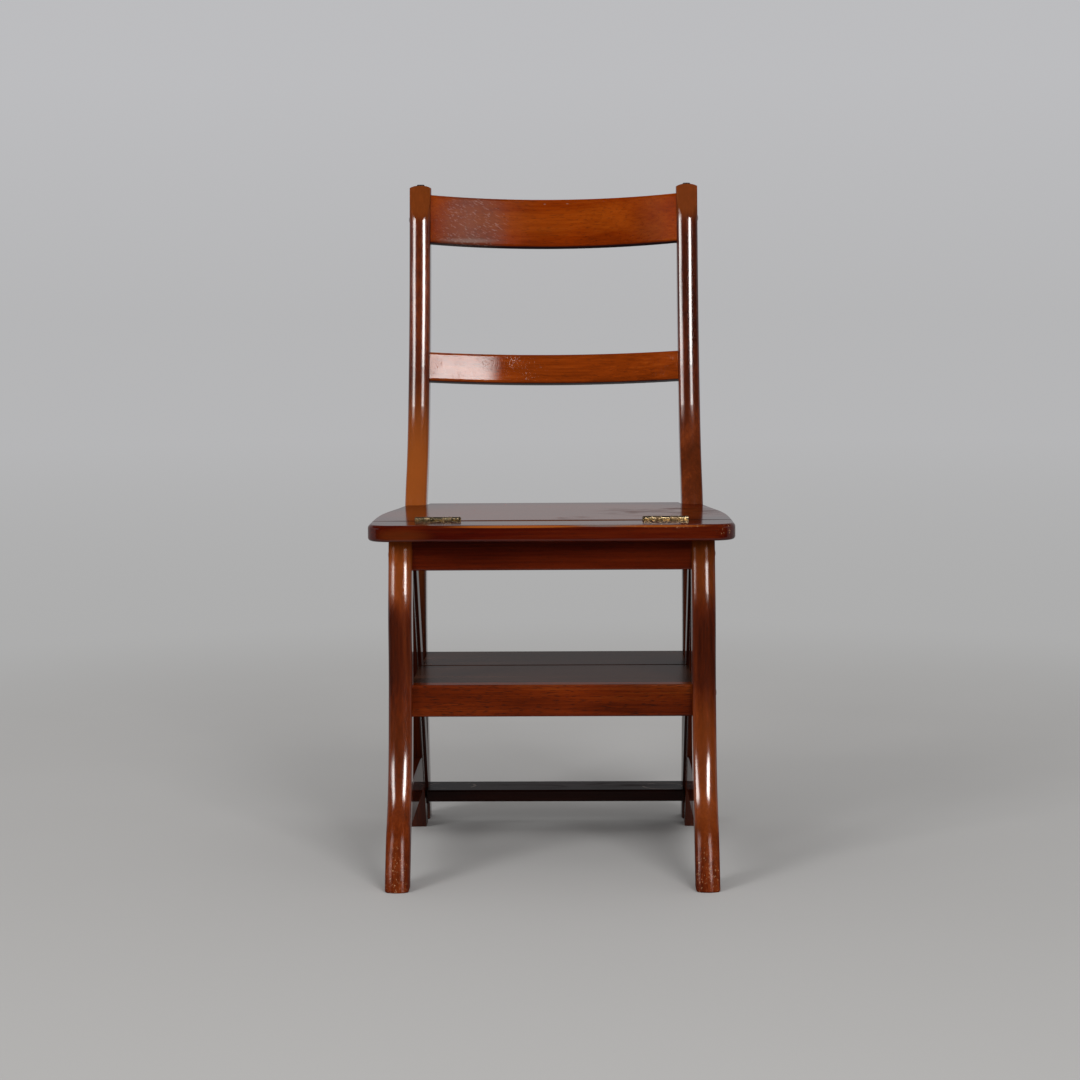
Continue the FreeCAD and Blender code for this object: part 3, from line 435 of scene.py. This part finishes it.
@dataclass(frozen=True)
class Timber(Finish):
    """Stained and polished mahogany, as one set of boards shows it.

    The cut is where in the log the boards lie. The hollow is how much the polish dishes along X,
    as a share of the distance squared.
    """

    grain: Grain
    tones: Tones
    cut: Point = (0.0, 0.0, 0.0)
    gloss: float = 0.09
    polish: float = 1.0
    pore_depth: float = 0.35
    cloud: float = 0.16
    dimples: float = 0.0
    waves: float = 0.10
    hollow: float = 0.0
    edge_wear: float = 0.35
    edge_darkening: float = 0.0
    painted_under_shade: float = 0.0
    patches: tuple[Patch, ...] = ()

    def material(self) -> bpy.types.Material:
        """Build the finish and return it."""
        bench = Bench.for_material(self.name)
        point = bench.place()
        along = self.run_with_fibres(bench, point)
        fibres = bench.noise(along, FIBRES)
        pores = bench.marks(along, PORES)
        skin = self.stain_and_polish(bench, point, along, pores, fibres)
        for patch in self.patches:
            skin.wear(patch)
        shader = bench.add(
            "BsdfPrincipled",
            {
                "Base Color": skin.colour,
                "Roughness": bench.maths("MINIMUM", skin.rough, ROUGHEST),
                "Specular IOR Level": 0.0,
                "Coat Weight": skin.shine,
                "Coat Roughness": self.gloss,
                "Coat IOR": COAT_IOR,
                "Normal": self.relief(bench, pores, fibres),
                "Coat Normal": self.lacquer(bench, point, fibres),
            },
        )
        return bench.finish(shader.outputs[0])

    def run_with_fibres(self, bench: Bench, point: Socket) -> Socket:
        """Return the shaded point with X running along the fibres."""
        turned = bench.add("VectorRotate", {"Vector": point, "Rotation": self.grain.value},
                           rotation_type="EULER_XYZ", invert=True)
        return bench.stretch(turned.outputs[0], shift=self.cut)

    def stain_and_polish(self, bench: Bench, point: Socket, along: Socket, pores: Socket,
                         fibres: Socket) -> Skin:
        """Return the finish before its patches of wear, with only its edges rubbed.

        Args:
            bench: The material being laid out.
            point: The shaded point.
            along: The same with X along the fibres.
            pores: How much of an open pore lies at the point.
            fibres: The fibres' noise at the point.

        Returns:
            The finish, for wear to change.
        """
        cloud = bench.noise(point, CLOUDS)
        edge = bench.bend(WOOD_EDGE)
        rubbed = bench.times(bench.times(edge, bench.marks(point, RUBS)), self.edge_wear)
        rough = bench.maths("ADD", bench.span(cloud, *NOISE_RANGE, *WOOD_ROUGHNESS),
                            bench.times(rubbed, RUBBED_ROUGHNESS))
        skin = Skin(bench, point, along, self.tint(bench, along, fibres), rough, self.polish)
        skin.colour_over(bench.times(pores, self.pore_depth), GRIME_AND_SHADE)
        shades = ((1.0 - self.cloud,) * 3, (1.0 + self.cloud,) * 3)
        clouds = bench.ramp(cloud, zip(CLOUD_STOPS, shades))
        skin.colour = bench.blend(1.0, skin.colour, clouds, "MULTIPLY")
        # Darker along every edge.
        if self.edge_darkening:
            skin.colour_over(bench.times(edge, self.edge_darkening), GRIME_AND_SHADE)
        skin.colour_over(rubbed, RUBBED_AND_LIT)
        # Painted shade: the undersides of the rails are darkened by how far they face down.
        if self.painted_under_shade:
            skin.colour_over(self.underside(bench), SHADE)
        return skin

    def tint(self, bench: Bench, along: Socket, fibres: Socket) -> Socket:
        """Return the stained wood's colour, from its streaks and its fibres."""
        tone = bench.maths("ADD", bench.times(bench.noise(along, STREAKS), STREAK_SHARE),
                           bench.times(fibres, FIBRE_SHARE))
        return bench.ramp(tone, zip(TONE_STOPS, self.tones))

    def underside(self, bench: Bench) -> Socket:
        """Return how much painted shade a rail gets on its underside, by how far its normal faces
        down.
        """
        upward = bench.part(bench.add("TexCoord").outputs["Normal"], "Z")
        return bench.span(upward, *UNDERSIDE, 0.0, self.painted_under_shade)

    def relief(self, bench: Bench, pores: Socket, fibres: Socket) -> Socket:
        """Return the wood's own normal, with its fibres and open pores."""
        grain = bench.bump(fibres, GRAIN_RELIEF)
        return bench.bump(bench.rest(pores), Relief(self.pore_depth, PORE_SINK), grain)

    def lacquer(self, bench: Bench, point: Socket, fibres: Socket) -> Socket:
        """Return the polish's own normal: slow waves, the grain's print, a hollow and dents."""
        slow = bench.bump(bench.noise(point, WAVES), Relief(self.waves, WAVE_RISE))
        normal = bench.bump(fibres, PRINT_RELIEF, slow)
        if self.hollow:
            out = bench.part(point, "X")
            depth = bench.times(bench.times(out, out), self.hollow)
            normal = bench.bump(depth, HOLLOW_RELIEF, normal)
        if self.dimples:
            dents = bench.times(bench.marks(point, DENTS), bench.marks(point, DENT_FIELDS))
            normal = bench.bump(dents, Relief(self.dimples, DENT_SINK), normal)
        return normal


@dataclass(frozen=True)
class AgedBrass(Finish):
    """Sheet or turned brass, dull and brown where nothing rubs it.

    The higher the share, the more of the metal stays bright. The fade is how far the rims of the
    brown blotches reach to either side of it. Metal and roughness go from bright to tarnished.
    """

    share: float
    bright: Colour = (0.46, 0.35, 0.20)
    tarnish: Colour = (0.080, 0.044, 0.018)
    fade: Pair = (-0.12, 0.14)
    metal: Pair = (1.0, 0.75)
    rough: Pair = (0.26, 0.50)

    def material(self) -> bpy.types.Material:
        """Build the finish and return it."""
        bench = Bench.for_material(self.name)
        point = bench.place()
        low, high = self.fade
        dull = bench.span(bench.noise(point, BLOTCHES), self.share + low, self.share + high)
        dull = bench.times(dull, bench.rest(bench.bend(BRASS_EDGE)))
        shader = bench.add(
            "BsdfPrincipled",
            {
                "Base Color": bench.blend(dull, self.bright, self.tarnish),
                "Metallic": bench.span(dull, 0.0, 1.0, *self.metal),
                "Roughness": bench.span(dull, 0.0, 1.0, *self.rough),
                "Normal": bench.bump(bench.noise(point, SCORES), SCORE_RELIEF),
            },
        )
        return bench.finish(shader.outputs[0])


@dataclass(frozen=True)
class BlackGlide(Finish):
    """A moulded black button that takes the floor, rubbed grey at its crown."""

    black: Colour = (0.004, 0.0037, 0.0035)
    rubbed: Colour = (0.030, 0.028, 0.026)
    rub: Pair = (0.45, 0.75)
    rough: Pair = (0.45, 0.70)
    sheen: float = 0.25

    def material(self) -> bpy.types.Material:
        """Build the finish and return it."""
        bench = Bench.for_material(self.name)
        grit = bench.noise(bench.place(), GRIT)
        shader = bench.add(
            "BsdfPrincipled",
            {
                "Base Color": bench.ramp(grit, zip(self.rub, (self.black, self.rubbed))),
                "Roughness": bench.span(grit, *NOISE_RANGE, *self.rough),
                "Specular IOR Level": self.sheen,
                "Normal": bench.bump(grit, GRIT_RELIEF),
            },
        )
        return bench.finish(shader.outputs[0])


@dataclass(frozen=True)
class ScrewSteel(Finish):
    """Bright steel of the hidden frame screws, spotted with brown."""

    steel: Colour = (0.42, 0.41, 0.40)
    rust: Colour = (0.10, 0.045, 0.020)
    metal: Pair = (1.0, 0.2)
    rough: Pair = (0.30, 0.70)

    def material(self) -> bpy.types.Material:
        """Build the finish and return it."""
        bench = Bench.for_material(self.name)
        spots = bench.marks(bench.place(), RUST_SPOTS)
        shader = bench.add(
            "BsdfPrincipled",
            {
                "Base Color": bench.blend(spots, self.steel, self.rust),
                "Metallic": bench.span(spots, 0.0, 1.0, *self.metal),
                "Roughness": bench.span(spots, 0.0, 1.0, *self.rough),
            },
        )
        return bench.finish(shader.outputs[0])


LEG_TONES = Tones((0.036, 0.0045, 0.0012), (0.094, 0.0125, 0.0022), (0.19, 0.034, 0.0065))
POST_TONES = Tones((0.034, 0.0050, 0.0018), (0.088, 0.0135, 0.0034), (0.20, 0.036, 0.007))
# Painted shade: the inner stringers, stretchers, side rails and rear apron get a darker copy of the
# frame's wood.
SHADED_INNER_TONES = Tones((0.014, 0.0022, 0.0010), (0.036, 0.0058, 0.0018), (0.080, 0.014, 0.0036))
APRON_TONES = Tones((0.024, 0.0022, 0.0008), (0.054, 0.0046, 0.0010), (0.105, 0.012, 0.0022))
RAIL_TONES = Tones((0.050, 0.0055, 0.0010), (0.118, 0.0150, 0.0016), (0.22, 0.044, 0.004))
CREST_TONES = Tones((0.105, 0.0125, 0.0006), (0.188, 0.0225, 0.0007), (0.27, 0.047, 0.003))
BACK_TONES = Tones((0.095, 0.0140, 0.0014), (0.205, 0.031, 0.0022), (0.30, 0.064, 0.008))
TREAD_TONES = Tones((0.026, 0.0085, 0.0042), (0.046, 0.017, 0.0092), (0.078, 0.030, 0.017))
# Painted shade: the low tread under the chair gets a much darker copy of the tread tones.
SHADED_LOW_TONES = Tones((0.006, 0.0011, 0.0005), (0.012, 0.0020, 0.0008), (0.026, 0.0070, 0.0034))
SEAT_TONES = Tones((0.028, 0.0018, 0.0006), (0.054, 0.0032, 0.0007), (0.105, 0.012, 0.0018))
PLUG_TONES = Tones((0.030, 0.0042, 0.0015), (0.070, 0.010, 0.0028), (0.15, 0.026, 0.006))

# How far legs and posts stand from the middle, in metres.
LEG_OUT = 0.193

TREAD = Timber("tread_mahogany", Grain.ACROSS, TREAD_TONES, (0.6, 0.4, 0.2), gloss=0.26,
               polish=0.28, edge_wear=0.6)
SEAT = Timber(
    "seat_mahogany", Grain.ACROSS, SEAT_TONES, (0.8, 0.9, 0.5), gloss=0.12, polish=0.68,
    edge_wear=0.7,
    patches=(
        Patch(Wear.GRIMY_AND_SHADED, (0.0, -0.1525, 0.449), (0.26, 0.012, 0.02), 0.7, 0.6),
        Patch(Wear.DULLED, (0.0, -0.1525, 0.449), (0.26, 0.012, 0.02), 0.9, 0.6),
        Patch(Wear.FADED_AND_LIT, (0.0, -0.04, 0.450), (0.27, 0.20, 0.004), 0.25, 0.6),
        # Painted highlight: a faint orange spot on the left front corner.
        Patch(Wear.FADED_AND_LIT, (-0.19, -0.222, 0.436), (0.05, 0.02, 0.012), 0.15, 0.3),
        # Painted reflection: a pale band across the front strip of the seat top.
        Patch(Wear.SHEEN_AND_FLECKS, (0.0, -0.186, 0.450), (0.22, 0.030, 0.004), 0.12, 0.3),
        # Painted reflection: a pale band on the front arris, right of the middle.
        Patch(Wear.SHEEN_AND_FLECKS, (0.070, -0.2195, 0.4482), (0.065, 0.0045, 0.0022), 0.65, 0.4),
        # An orange line along the front arris: partly real wear, partly the painted highlight of
        # its rounding.
        Patch(Wear.FADED_AND_LIT, (-0.045, -0.2205, 0.4475), (0.11, 0.0045, 0.0022), 1.0, 0.5),
        Patch(Wear.FADED_AND_LIT, (0.150, -0.2205, 0.4475), (0.09, 0.0035, 0.0018), 0.8, 0.6),
        Patch(Wear.CHIPPED, (0.150, -0.221, 0.449), (0.060, 0.010, 0.006)),
        Patch(Wear.CHIPPED, (0.222, -0.202, 0.440), (0.02, 0.03, 0.012), 0.6),
        Patch(Wear.SCUFFED, (0.15, -0.03, 0.449), (0.11, 0.09, 0.02), 0.8),
        Patch(Wear.SCUFFED, (0.03, -0.12, 0.449), (0.03, 0.03, 0.02), 0.7),
    ),
)
PLUG = Timber("plug_mahogany", Grain.UPRIGHT, PLUG_TONES, (0.15, 0.35, 0.55))


def apply(finish: Finish, slot: str, *nodes: str) -> None:
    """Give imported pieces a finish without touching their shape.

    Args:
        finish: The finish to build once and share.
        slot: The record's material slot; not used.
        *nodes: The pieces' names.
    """
    material = finish.material()
    for name in nodes:
        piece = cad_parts[name]
        for place in piece.material_slots:
            place.material = material
        LOG.info("%s dressed in %s", name, finish.name)


def both(name: str) -> tuple[str, str]:
    """Return the names of a left and right pair."""
    return name + "_left", name + "_right"


class Section(ABC):
    """Pieces of the chair that are dressed together."""

    @abstractmethod
    def dress(self) -> None:
        """Give each piece its finish."""


class FrontHalf(Section):
    """The half that stands still when the seat turns over."""

    def dress(self) -> None:
        """Give each member its own boards' finish."""
        self.dress_legs()
        stringers = Timber("stringer_mahogany", Grain.SLANTING, SHADED_INNER_TONES, (0.3, 0.1, 0.0),
                           polish=0.5)
        apply(stringers, "frame_wood", *both("front_stringer"))
        stretchers = Timber("stretcher_mahogany", Grain.DEEP, SHADED_INNER_TONES, (0.1, 0.5, 0.0),
                            polish=0.4)
        apply(stretchers, "frame_wood", *both("side_stretcher"))
        apron = Timber("apron_mahogany", Grain.ACROSS, APRON_TONES, (0.7, 0.2, 0.4), polish=0.7)
        apply(apron, "frame_wood", "front_apron")
        rail = Timber(
            "step_rail_mahogany", Grain.ACROSS, RAIL_TONES, (0.2, 0.8, 0.1), gloss=0.20,
            polish=0.28, pore_depth=0.8, cloud=0.30,
            patches=(
                Patch(Wear.FADED_AND_LIT, (-0.02, -0.20, 0.276), (0.19, 0.05, 0.024), 0.32, 0.1),
                Patch(Wear.GRIMY_AND_SHADED, (0.02, -0.20, 0.247), (0.25, 0.05, 0.012), 0.25, 0.1),
            ),
        )
        apply(rail, "frame_wood", "step_rail")
        apply(TREAD, "step_wood", "front_step_board")
        apply(SEAT, "seat_wood", "seat_front_board")
        apply(PLUG, "frame_wood", "leg_plugs")
        apply(ScrewSteel("leg_screw_steel"), "screw_steel", "leg_screws")

    def dress_legs(self) -> None:
        """Finish the front legs, each worn in its own way and chipped at its foot, with painted
        light where their curve faces up and painted shade where it faces down.
        """
        patches = []
        for side, high, low, chips, dulled in ((-1, 0.3572, 0.10, 0.7, 0.1),
                                               (1, 0.2028, 0.25, 0.9, 0.45)):
            leg = side * LEG_OUT
            patches += [
                # Painted light: lighter, warmer patches high on the knee and low where the leg
                # sweeps forward, where the curve faces up.
                Patch(Wear.FADED_AND_LIT, (leg, -0.17, 0.400), (0.06, 0.10, 0.075), high),
                Patch(Wear.FADED_AND_LIT, (leg, -0.27, 0.150), (0.06, 0.12, 0.120), low),
                # Painted shade: darker between them, where the curve faces down.
                Patch(Wear.GRIMY_AND_SHADED, (leg, -0.20, 0.290), (0.06, 0.10, 0.070), 0.30),
                Patch(Wear.DULLED, (leg, -0.19, 0.422), (0.06, 0.10, 0.030), 0.9, 0.6),
                Patch(Wear.DULLED, (leg, -0.20, 0.300), (0.06, 0.20, 0.160), dulled, 0.7),
                Patch(Wear.DULLED, (leg, -0.30, 0.020), (0.05, 0.06, 0.105), 0.85, 0.6),
                Patch(Wear.SCUFFED, (leg, -0.30, 0.030), (0.03, 0.04, 0.070), 0.5),
                Patch(Wear.CHIPPED, (leg, -0.30, 0.024), (0.022, 0.03, 0.046), chips),
                Patch(Wear.CHIPPED, (leg, -0.30, 0.088), (0.022, 0.03, 0.050), 0.45 * chips),
            ]
        legs = Timber("leg_mahogany", Grain.UPRIGHT, LEG_TONES, gloss=0.14,
                      patches=tuple(patches))
        apply(legs, "frame_wood", *both("front_leg"))


class RearHalf(Section):
    """The half that turns over on the seat hinges: posts, back rails, most of the seat, treads."""

    def dress(self) -> None:
        """Give each member its own boards' finish."""
        self.dress_posts()
        self.dress_back_rails()
        stringers = Timber("rear_stringer_mahogany", Grain.SLANTING, SHADED_INNER_TONES,
                           (0.5, 0.7, 0.0), polish=0.5)
        apply(stringers, "frame_wood", *both("rear_stringer"))
        rails = Timber("side_rail_mahogany", Grain.DEEP, SHADED_INNER_TONES, (0.9, 0.2, 0.0), polish=0.5)
        apply(rails, "frame_wood", *both("rear_side_rail"), "rear_apron")
        apply(TREAD, "step_wood", "rear_step_board")
        low_tread = Timber(
            "low_tread_mahogany", Grain.ACROSS, SHADED_LOW_TONES, (0.6, 0.4, 0.2), gloss=0.26,
            polish=0.22, edge_wear=0.15,
            patches=(
                Patch(Wear.RINGED, (-0.145, 0.088, 0.054), (0.040, 0.026, 0.02), 0.5),
                Patch(Wear.RINGED, (0.150, 0.080, 0.054), (0.034, 0.026, 0.02), 0.5),
                Patch(Wear.SCUFFED, (0.03, 0.085, 0.054), (0.16, 0.03, 0.02), 0.6),
            ),
        )
        apply(low_tread, "step_wood", "top_step_board")
        apply(SEAT, "seat_wood", "seat_rear_board")
        apply(PLUG, "frame_wood", "post_plugs")
        apply(ScrewSteel("post_screw_steel"), "screw_steel", "post_screws")
        apply(BlackGlide("glide_black"), "glide", *both("post_glide"))

    def dress_posts(self) -> None:
        """Finish the posts: painted light just above the seat where they lean back, faded and
        dulled at the top, and painted shade towards the feet.
        """
        patches = []
        for side, low, top in ((-1, 0.85, 0.35), (1, 0.10, 0.30)):
            post = side * LEG_OUT
            patches += [
                # Painted light: lighter and warmer just above the seat, where the post leans back
                # and faces up, strong on the left post only.
                Patch(Wear.FADED_AND_LIT, (post, 0.13, 0.455), (0.06, 0.12, 0.225), low, 0.25),
                Patch(Wear.FADED_AND_LIT, (post, 0.24, 0.885), (0.06, 0.12, 0.045), top),
                # Painted shade: darker towards the feet, which stand in the chair's shadow.
                Patch(Wear.GRIMY_AND_SHADED, (post, 0.13, 0.020), (0.06, 0.20, 0.380), 0.55, 0.7),
                Patch(Wear.DULLED, (post, 0.24, 0.895), (0.06, 0.12, 0.048), 0.75, 0.8),
            ]
        posts = Timber("post_mahogany", Grain.UPRIGHT, POST_TONES, (0.0, 0.3, 0.2), gloss=0.14,
                       patches=tuple(patches))
        apply(posts, "frame_wood", *both("rear_post"))

    def dress_back_rails(self) -> None:
        """Finish the crest rail, scratched and hazed at one end, and the rail below it."""
        crest = Timber(
            "crest_mahogany", Grain.ACROSS, CREST_TONES, (0.0, 0.6, 0.9), gloss=0.20,
            polish=0.17, pore_depth=0.5, cloud=0.26, dimples=0.45, edge_wear=0.2,
            edge_darkening=0.45, painted_under_shade=0.92,
            patches=(
                Patch(Wear.GRIMY_AND_SHADED, (-0.120, 0.28, 0.85), (0.065, 0.1, 0.07), 0.30, 0.3),
                # Painted reflection of the lamp as a pale haze on the left of the crest, with
                # painted glints along real hairline scratches.
                Patch(Wear.SCRATCHED_SHEEN, (-0.120, 0.28, 0.84), (0.062, 0.2, 0.07), 0.10, 0.5),
                Patch(Wear.GRIMY_AND_SHADED, (0.140, 0.28, 0.85), (0.030, 0.1, 0.06), 0.15, 0.3),
                # Painted highlight: a pale line along the lower arris at the left.
                Patch(Wear.SHEEN_AND_FLECKS, (-0.125, 0.28, 0.8205), (0.055, 0.2, 0.0045), 0.40, 0.2),
                Patch(Wear.SHEEN_AND_FLECKS, (-0.013, 0.28, 0.8735), (0.0026, 0.2, 0.0010), 0.8, 0.1),
                Patch(Wear.SHEEN_AND_FLECKS, (0.020, 0.28, 0.8740), (0.0026, 0.2, 0.0010), 0.8, 0.1),
                Patch(Wear.DULLED, (0.040, 0.28, 0.85), (0.190, 0.3, 0.3), 0.86, 0.75),
            ),
        )
        apply(crest, "rail_wood", "crest_rail")
        back = Timber("back_rail_mahogany", Grain.ACROSS, BACK_TONES, (0.4, 0.1, 0.3), gloss=0.07,
                      polish=0.40, dimples=0.12, waves=0.03, hollow=0.20, edge_wear=0.2,
                      edge_darkening=0.45, painted_under_shade=0.92)
        apply(back, "rail_wood", "back_rail")


class HingePair(Section):
    """Two brass butt hinges let into the seat along its fold."""

    def dress(self) -> None:
        """Give the leaves, pins and screws their metal."""
        apply(AgedBrass("front_leaf_brass", 0.74), "brass", *both("hinge_front_leaf"))
        apply(AgedBrass("rear_leaf_brass", 0.50), "brass", *both("hinge_rear_leaf"))
        apply(AgedBrass("pin_brass", 0.52), "brass", *both("hinge_pin"))
        apply(AgedBrass("screw_brass", 0.56), "brass", "hinge_screws_front", "hinge_screws_rear")


@dataclass(frozen=True)
class Lamp:
    """A tall soft lamp: where it hangs, its width and height, and its power in watts."""

    spot: Point
    size: Pair
    power: float


@dataclass(frozen=True)
class Card:
    """A lamp's white cloth as polish mirrors it: its place, size and glow."""

    spot: Point
    size: Pair
    glow: float


@dataclass
class Studio:
    """A grey room without corners, lit by two tall softboxes beside the camera.

    The lamps give light alone, and the cards are what polish mirrors of them. Only members with
    one of the mirrors' words in their names show the cards: boards that lie flat would glare.
    """

    floor_near: Colour = (0.445, 0.438, 0.430)
    floor_far: Colour = (0.565, 0.556, 0.548)
    floor_depth: Pair = (-1.3, 1.6)
    floor_mottle: Colour = (0.42, 0.41, 0.40)
    mottle_share: float = 0.06
    floor_radius: float = 30.0
    floor_sides: int = 96
    shadow_reach: Pair = (0.9, 2.3)
    backdrop_scale: float = 0.1
    backdrop: Stops = (
        (0.08, (0.392, 0.388, 0.382)), (0.22, (0.418, 0.417, 0.416)),
        (0.80, (0.456, 0.456, 0.462)), (1.0, (0.466, 0.466, 0.474)),
    )
    room: Stops = ((0.0, (0.466, 0.466, 0.474)), (0.10, (0.505, 0.506, 0.520)))
    sky_strength: float = 0.50
    lamps: tuple[Lamp, ...] = (
        Lamp((-2.25, -2.45, 2.05), (0.95, 2.0), 44.0),
        Lamp((1.18, -2.95, 2.05), (1.10, 2.0), 50.0),
    )
    cards: tuple[Card, ...] = (
        Card((-2.25, -2.45, 2.05), (0.95, 2.0), 18.0),
        Card((1.18, -2.95, 2.05), (0.96, 2.0), 35.0),
    )
    card_colour: Colour = (1.0, 0.985, 0.965)
    soft_rim: float = 0.45
    mirrors: tuple[str, ...] = (
        "front_leg", "rear_post", "rail", "front_apron", "stringer", "hinge", "plugs", "glide",
    )
    flag_size: Pair = (12.0, 6.0)
    flag_place: Point = (0.0, -0.3, 3.4)
    flag_drops: tuple[Point, ...] = ((0.0, 0.0, -2.6), (0.0, 2.3, -0.795))
    flag_cloth: Stops = ((0.3, (0.010,) * 3), (0.7, (0.018,) * 3))
    aim: Point = (0.0, -0.05, 0.50)
    camera_place: Point = (0.038, -3.099, 0.7126)
    camera_yaw: float = math.radians(1.03)
    camera_pitch: float = math.radians(-5.0)
    camera_roll: float = math.radians(-0.38)
    sensor: float = 36.0
    focal_share: float = 2300.0 / 1080.0
    rise_share: float = 24.0 / 1080.0

    def build(self) -> None:
        """Set out the floor, the surroundings, the lamps and the camera."""
        bpy.context.scene.view_settings.view_transform = "Standard"
        self.lay_floor()
        self.fill_surroundings()
        for lamp in self.lamps:
            self.hang_lamp(lamp)
        for number, card in enumerate(self.cards, 1):
            self.hang_card(f"lamp_cloth_{number}", card)
        self.hang_flag()
        self.stand_camera()

    def lay_floor(self) -> None:
        """Lay a floor that takes shadows near the chair and melts into the backdrop far off."""
        bpy.ops.object.select_all(action="DESELECT")
        bpy.ops.mesh.primitive_circle_add(vertices=self.floor_sides, radius=self.floor_radius,
                                          fill_type="NGON")
        floor = bpy.context.object
        floor.name = "studio_floor"
        bench = Bench.for_material("floor_paper")
        point = bench.place()
        away = bench.length(point)
        far = bench.times(bench.span(away, *self.shadow_reach), bench.shown())
        # Painted light: the paper is lighter towards the back, to make up for the lamps' falloff
        # there.
        depth = bench.span(bench.part(point, "Y"), *self.floor_depth)
        mottle = bench.span(bench.noise(point, MOTTLE), *MOTTLE.edges, 0.0, self.mottle_share)
        colour = bench.blend(mottle, bench.blend(depth, self.floor_near, self.floor_far),
                             self.floor_mottle)
        paper = bench.add("BsdfDiffuse", {"Color": colour})
        glow = bench.ramp(bench.times(away, self.backdrop_scale), self.backdrop)
        backdrop = bench.add("Emission", {"Color": glow})
        mixed = bench.add("MixShader", {0: far, 1: paper.outputs[0], 2: backdrop.outputs[0]})
        floor.data.materials.append(bench.finish(mixed.outputs[0]))

    def fill_surroundings(self) -> None:
        """Surround the chair with grey that also shows as the backdrop."""
        bench = Bench(bpy.data.worlds.new("studio_room"))
        upward = bench.part(bench.add("TexCoord").outputs["Generated"], "Z")
        seen = bench.add("Background", {"Color": bench.ramp(upward, self.room)})
        ambient = bench.add("Background", {"Color": (1.0, 1.0, 1.0),
                                           "Strength": self.sky_strength})
        mixed = bench.add("MixShader", {0: bench.shown(), 1: ambient.outputs[0],
                                        2: seen.outputs[0]})
        bpy.context.scene.world = bench.finish(mixed.outputs[0])

    def facing(self, spot: Point) -> Point:
        """Return the turn that faces something at a spot towards the chair."""
        return tuple((Vector(self.aim) - Vector(spot)).to_track_quat("-Z", "Y").to_euler())

    def hang_lamp(self, lamp: Lamp) -> None:
        """Hang a soft lamp that lights the chair and isn't mirrored itself."""
        bpy.ops.object.light_add(type="AREA", location=lamp.spot,
                                 rotation=self.facing(lamp.spot))
        light = bpy.context.object
        light.name = "softbox"
        light.data.shape = "RECTANGLE"
        light.data.size, light.data.size_y = lamp.size
        light.data.energy = lamp.power
        light.visible_glossy = False

    def hang_card(self, name: str, card: Card) -> None:
        """Hang the cloth that polished members mirror, brightest in the middle.

        Args:
            name: The cloth's name.
            card: Its place, size and glow.
        """
        bpy.ops.object.select_all(action="DESELECT")
        bpy.ops.mesh.primitive_plane_add(size=1.0, location=card.spot,
                                         rotation=self.facing(card.spot))
        cloth = bpy.context.object
        cloth.name = name
        bpy.ops.transform.resize(value=(*card.size, 1.0), orient_type="LOCAL")
        bench = Bench.for_material(name + "_glow")
        across = bench.add("TexCoord").outputs["UV"]
        light = card.glow
        for axis in ("X", "Y"):
            out = bench.maths("ABSOLUTE", bench.maths("SUBTRACT", bench.part(across, axis), 0.5))
            light = bench.times(bench.span(out, 0.5, 0.5 - self.soft_rim / 2), light)
        shining = bench.add("Emission", {"Color": self.card_colour, "Strength": light})
        cloth.data.materials.append(bench.finish(shining.outputs[0]))
        self.show_in_polish_only(cloth)
        shown_by = bpy.data.collections.new(name + "_mirrors")
        for node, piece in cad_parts.items():
            if any(word in node for word in self.mirrors):
                shown_by.objects.link(piece)
        cloth.light_linking.receiver_collection = shown_by

    def hang_flag(self) -> None:
        """Hang a dark cloth over the chair, down behind the camera and out along the floor.

        Only reflections see it, as they see the dark side of a real studio.
        """
        bpy.ops.object.select_all(action="DESELECT")
        bpy.ops.mesh.primitive_plane_add(size=1.0)
        flag = bpy.context.object
        flag.name = "studio_flag"
        bpy.ops.object.mode_set(mode="EDIT")
        bpy.ops.transform.resize(value=(*self.flag_size, 1.0))
        bpy.ops.transform.translate(value=self.flag_place)
        bpy.ops.mesh.select_mode(type="EDGE")
        bpy.ops.mesh.select_all(action="DESELECT")
        bpy.ops.object.mode_set(mode="OBJECT")
        for edge in flag.data.edges:
            ends = [flag.data.vertices[number].co for number in edge.vertices]
            edge.select = all(end.y < 0.0 for end in ends)
        bpy.ops.object.mode_set(mode="EDIT")
        for drop in self.flag_drops:
            bpy.ops.mesh.extrude_region_move(TRANSFORM_OT_translate={"value": drop})
        bpy.ops.object.mode_set(mode="OBJECT")
        bench = Bench.for_material("flag_cloth")
        weave = bench.ramp(bench.noise(bench.place(), WEAVE), self.flag_cloth)
        cloth = bench.add("BsdfDiffuse", {"Color": weave})
        flag.data.materials.append(bench.finish(cloth.outputs[0]))
        self.show_in_polish_only(flag)

    @staticmethod
    def show_in_polish_only(cloth: bpy.types.Object) -> None:
        """Let nothing but reflections see a cloth."""
        cloth.visible_camera = False
        cloth.visible_diffuse = False
        cloth.visible_shadow = False

    def stand_camera(self) -> None:
        """Stand the camera where the picture was taken from."""
        bpy.ops.object.camera_add(location=self.camera_place)
        camera = bpy.context.object
        level = math.radians(90) + self.camera_pitch
        camera.matrix_world = (
            Matrix.Translation(self.camera_place)
            @ Matrix.Rotation(self.camera_yaw, 4, "Z")
            @ Matrix.Rotation(level, 4, "X")
            @ Matrix.Rotation(self.camera_roll, 4, "Z")
        )
        camera.data.sensor_width = self.sensor
        camera.data.lens = self.sensor * self.focal_share
        camera.data.shift_y = -self.rise_share
        bpy.context.scene.camera = camera


def main() -> None:
    """Dress the chair and set the studio round it."""
    logging.basicConfig(level=logging.INFO, format="%(message)s")
    for section in (FrontHalf(), RearHalf(), HingePair()):
        section.dress()
    Studio().build()


if __name__ == "__main__":
    main()
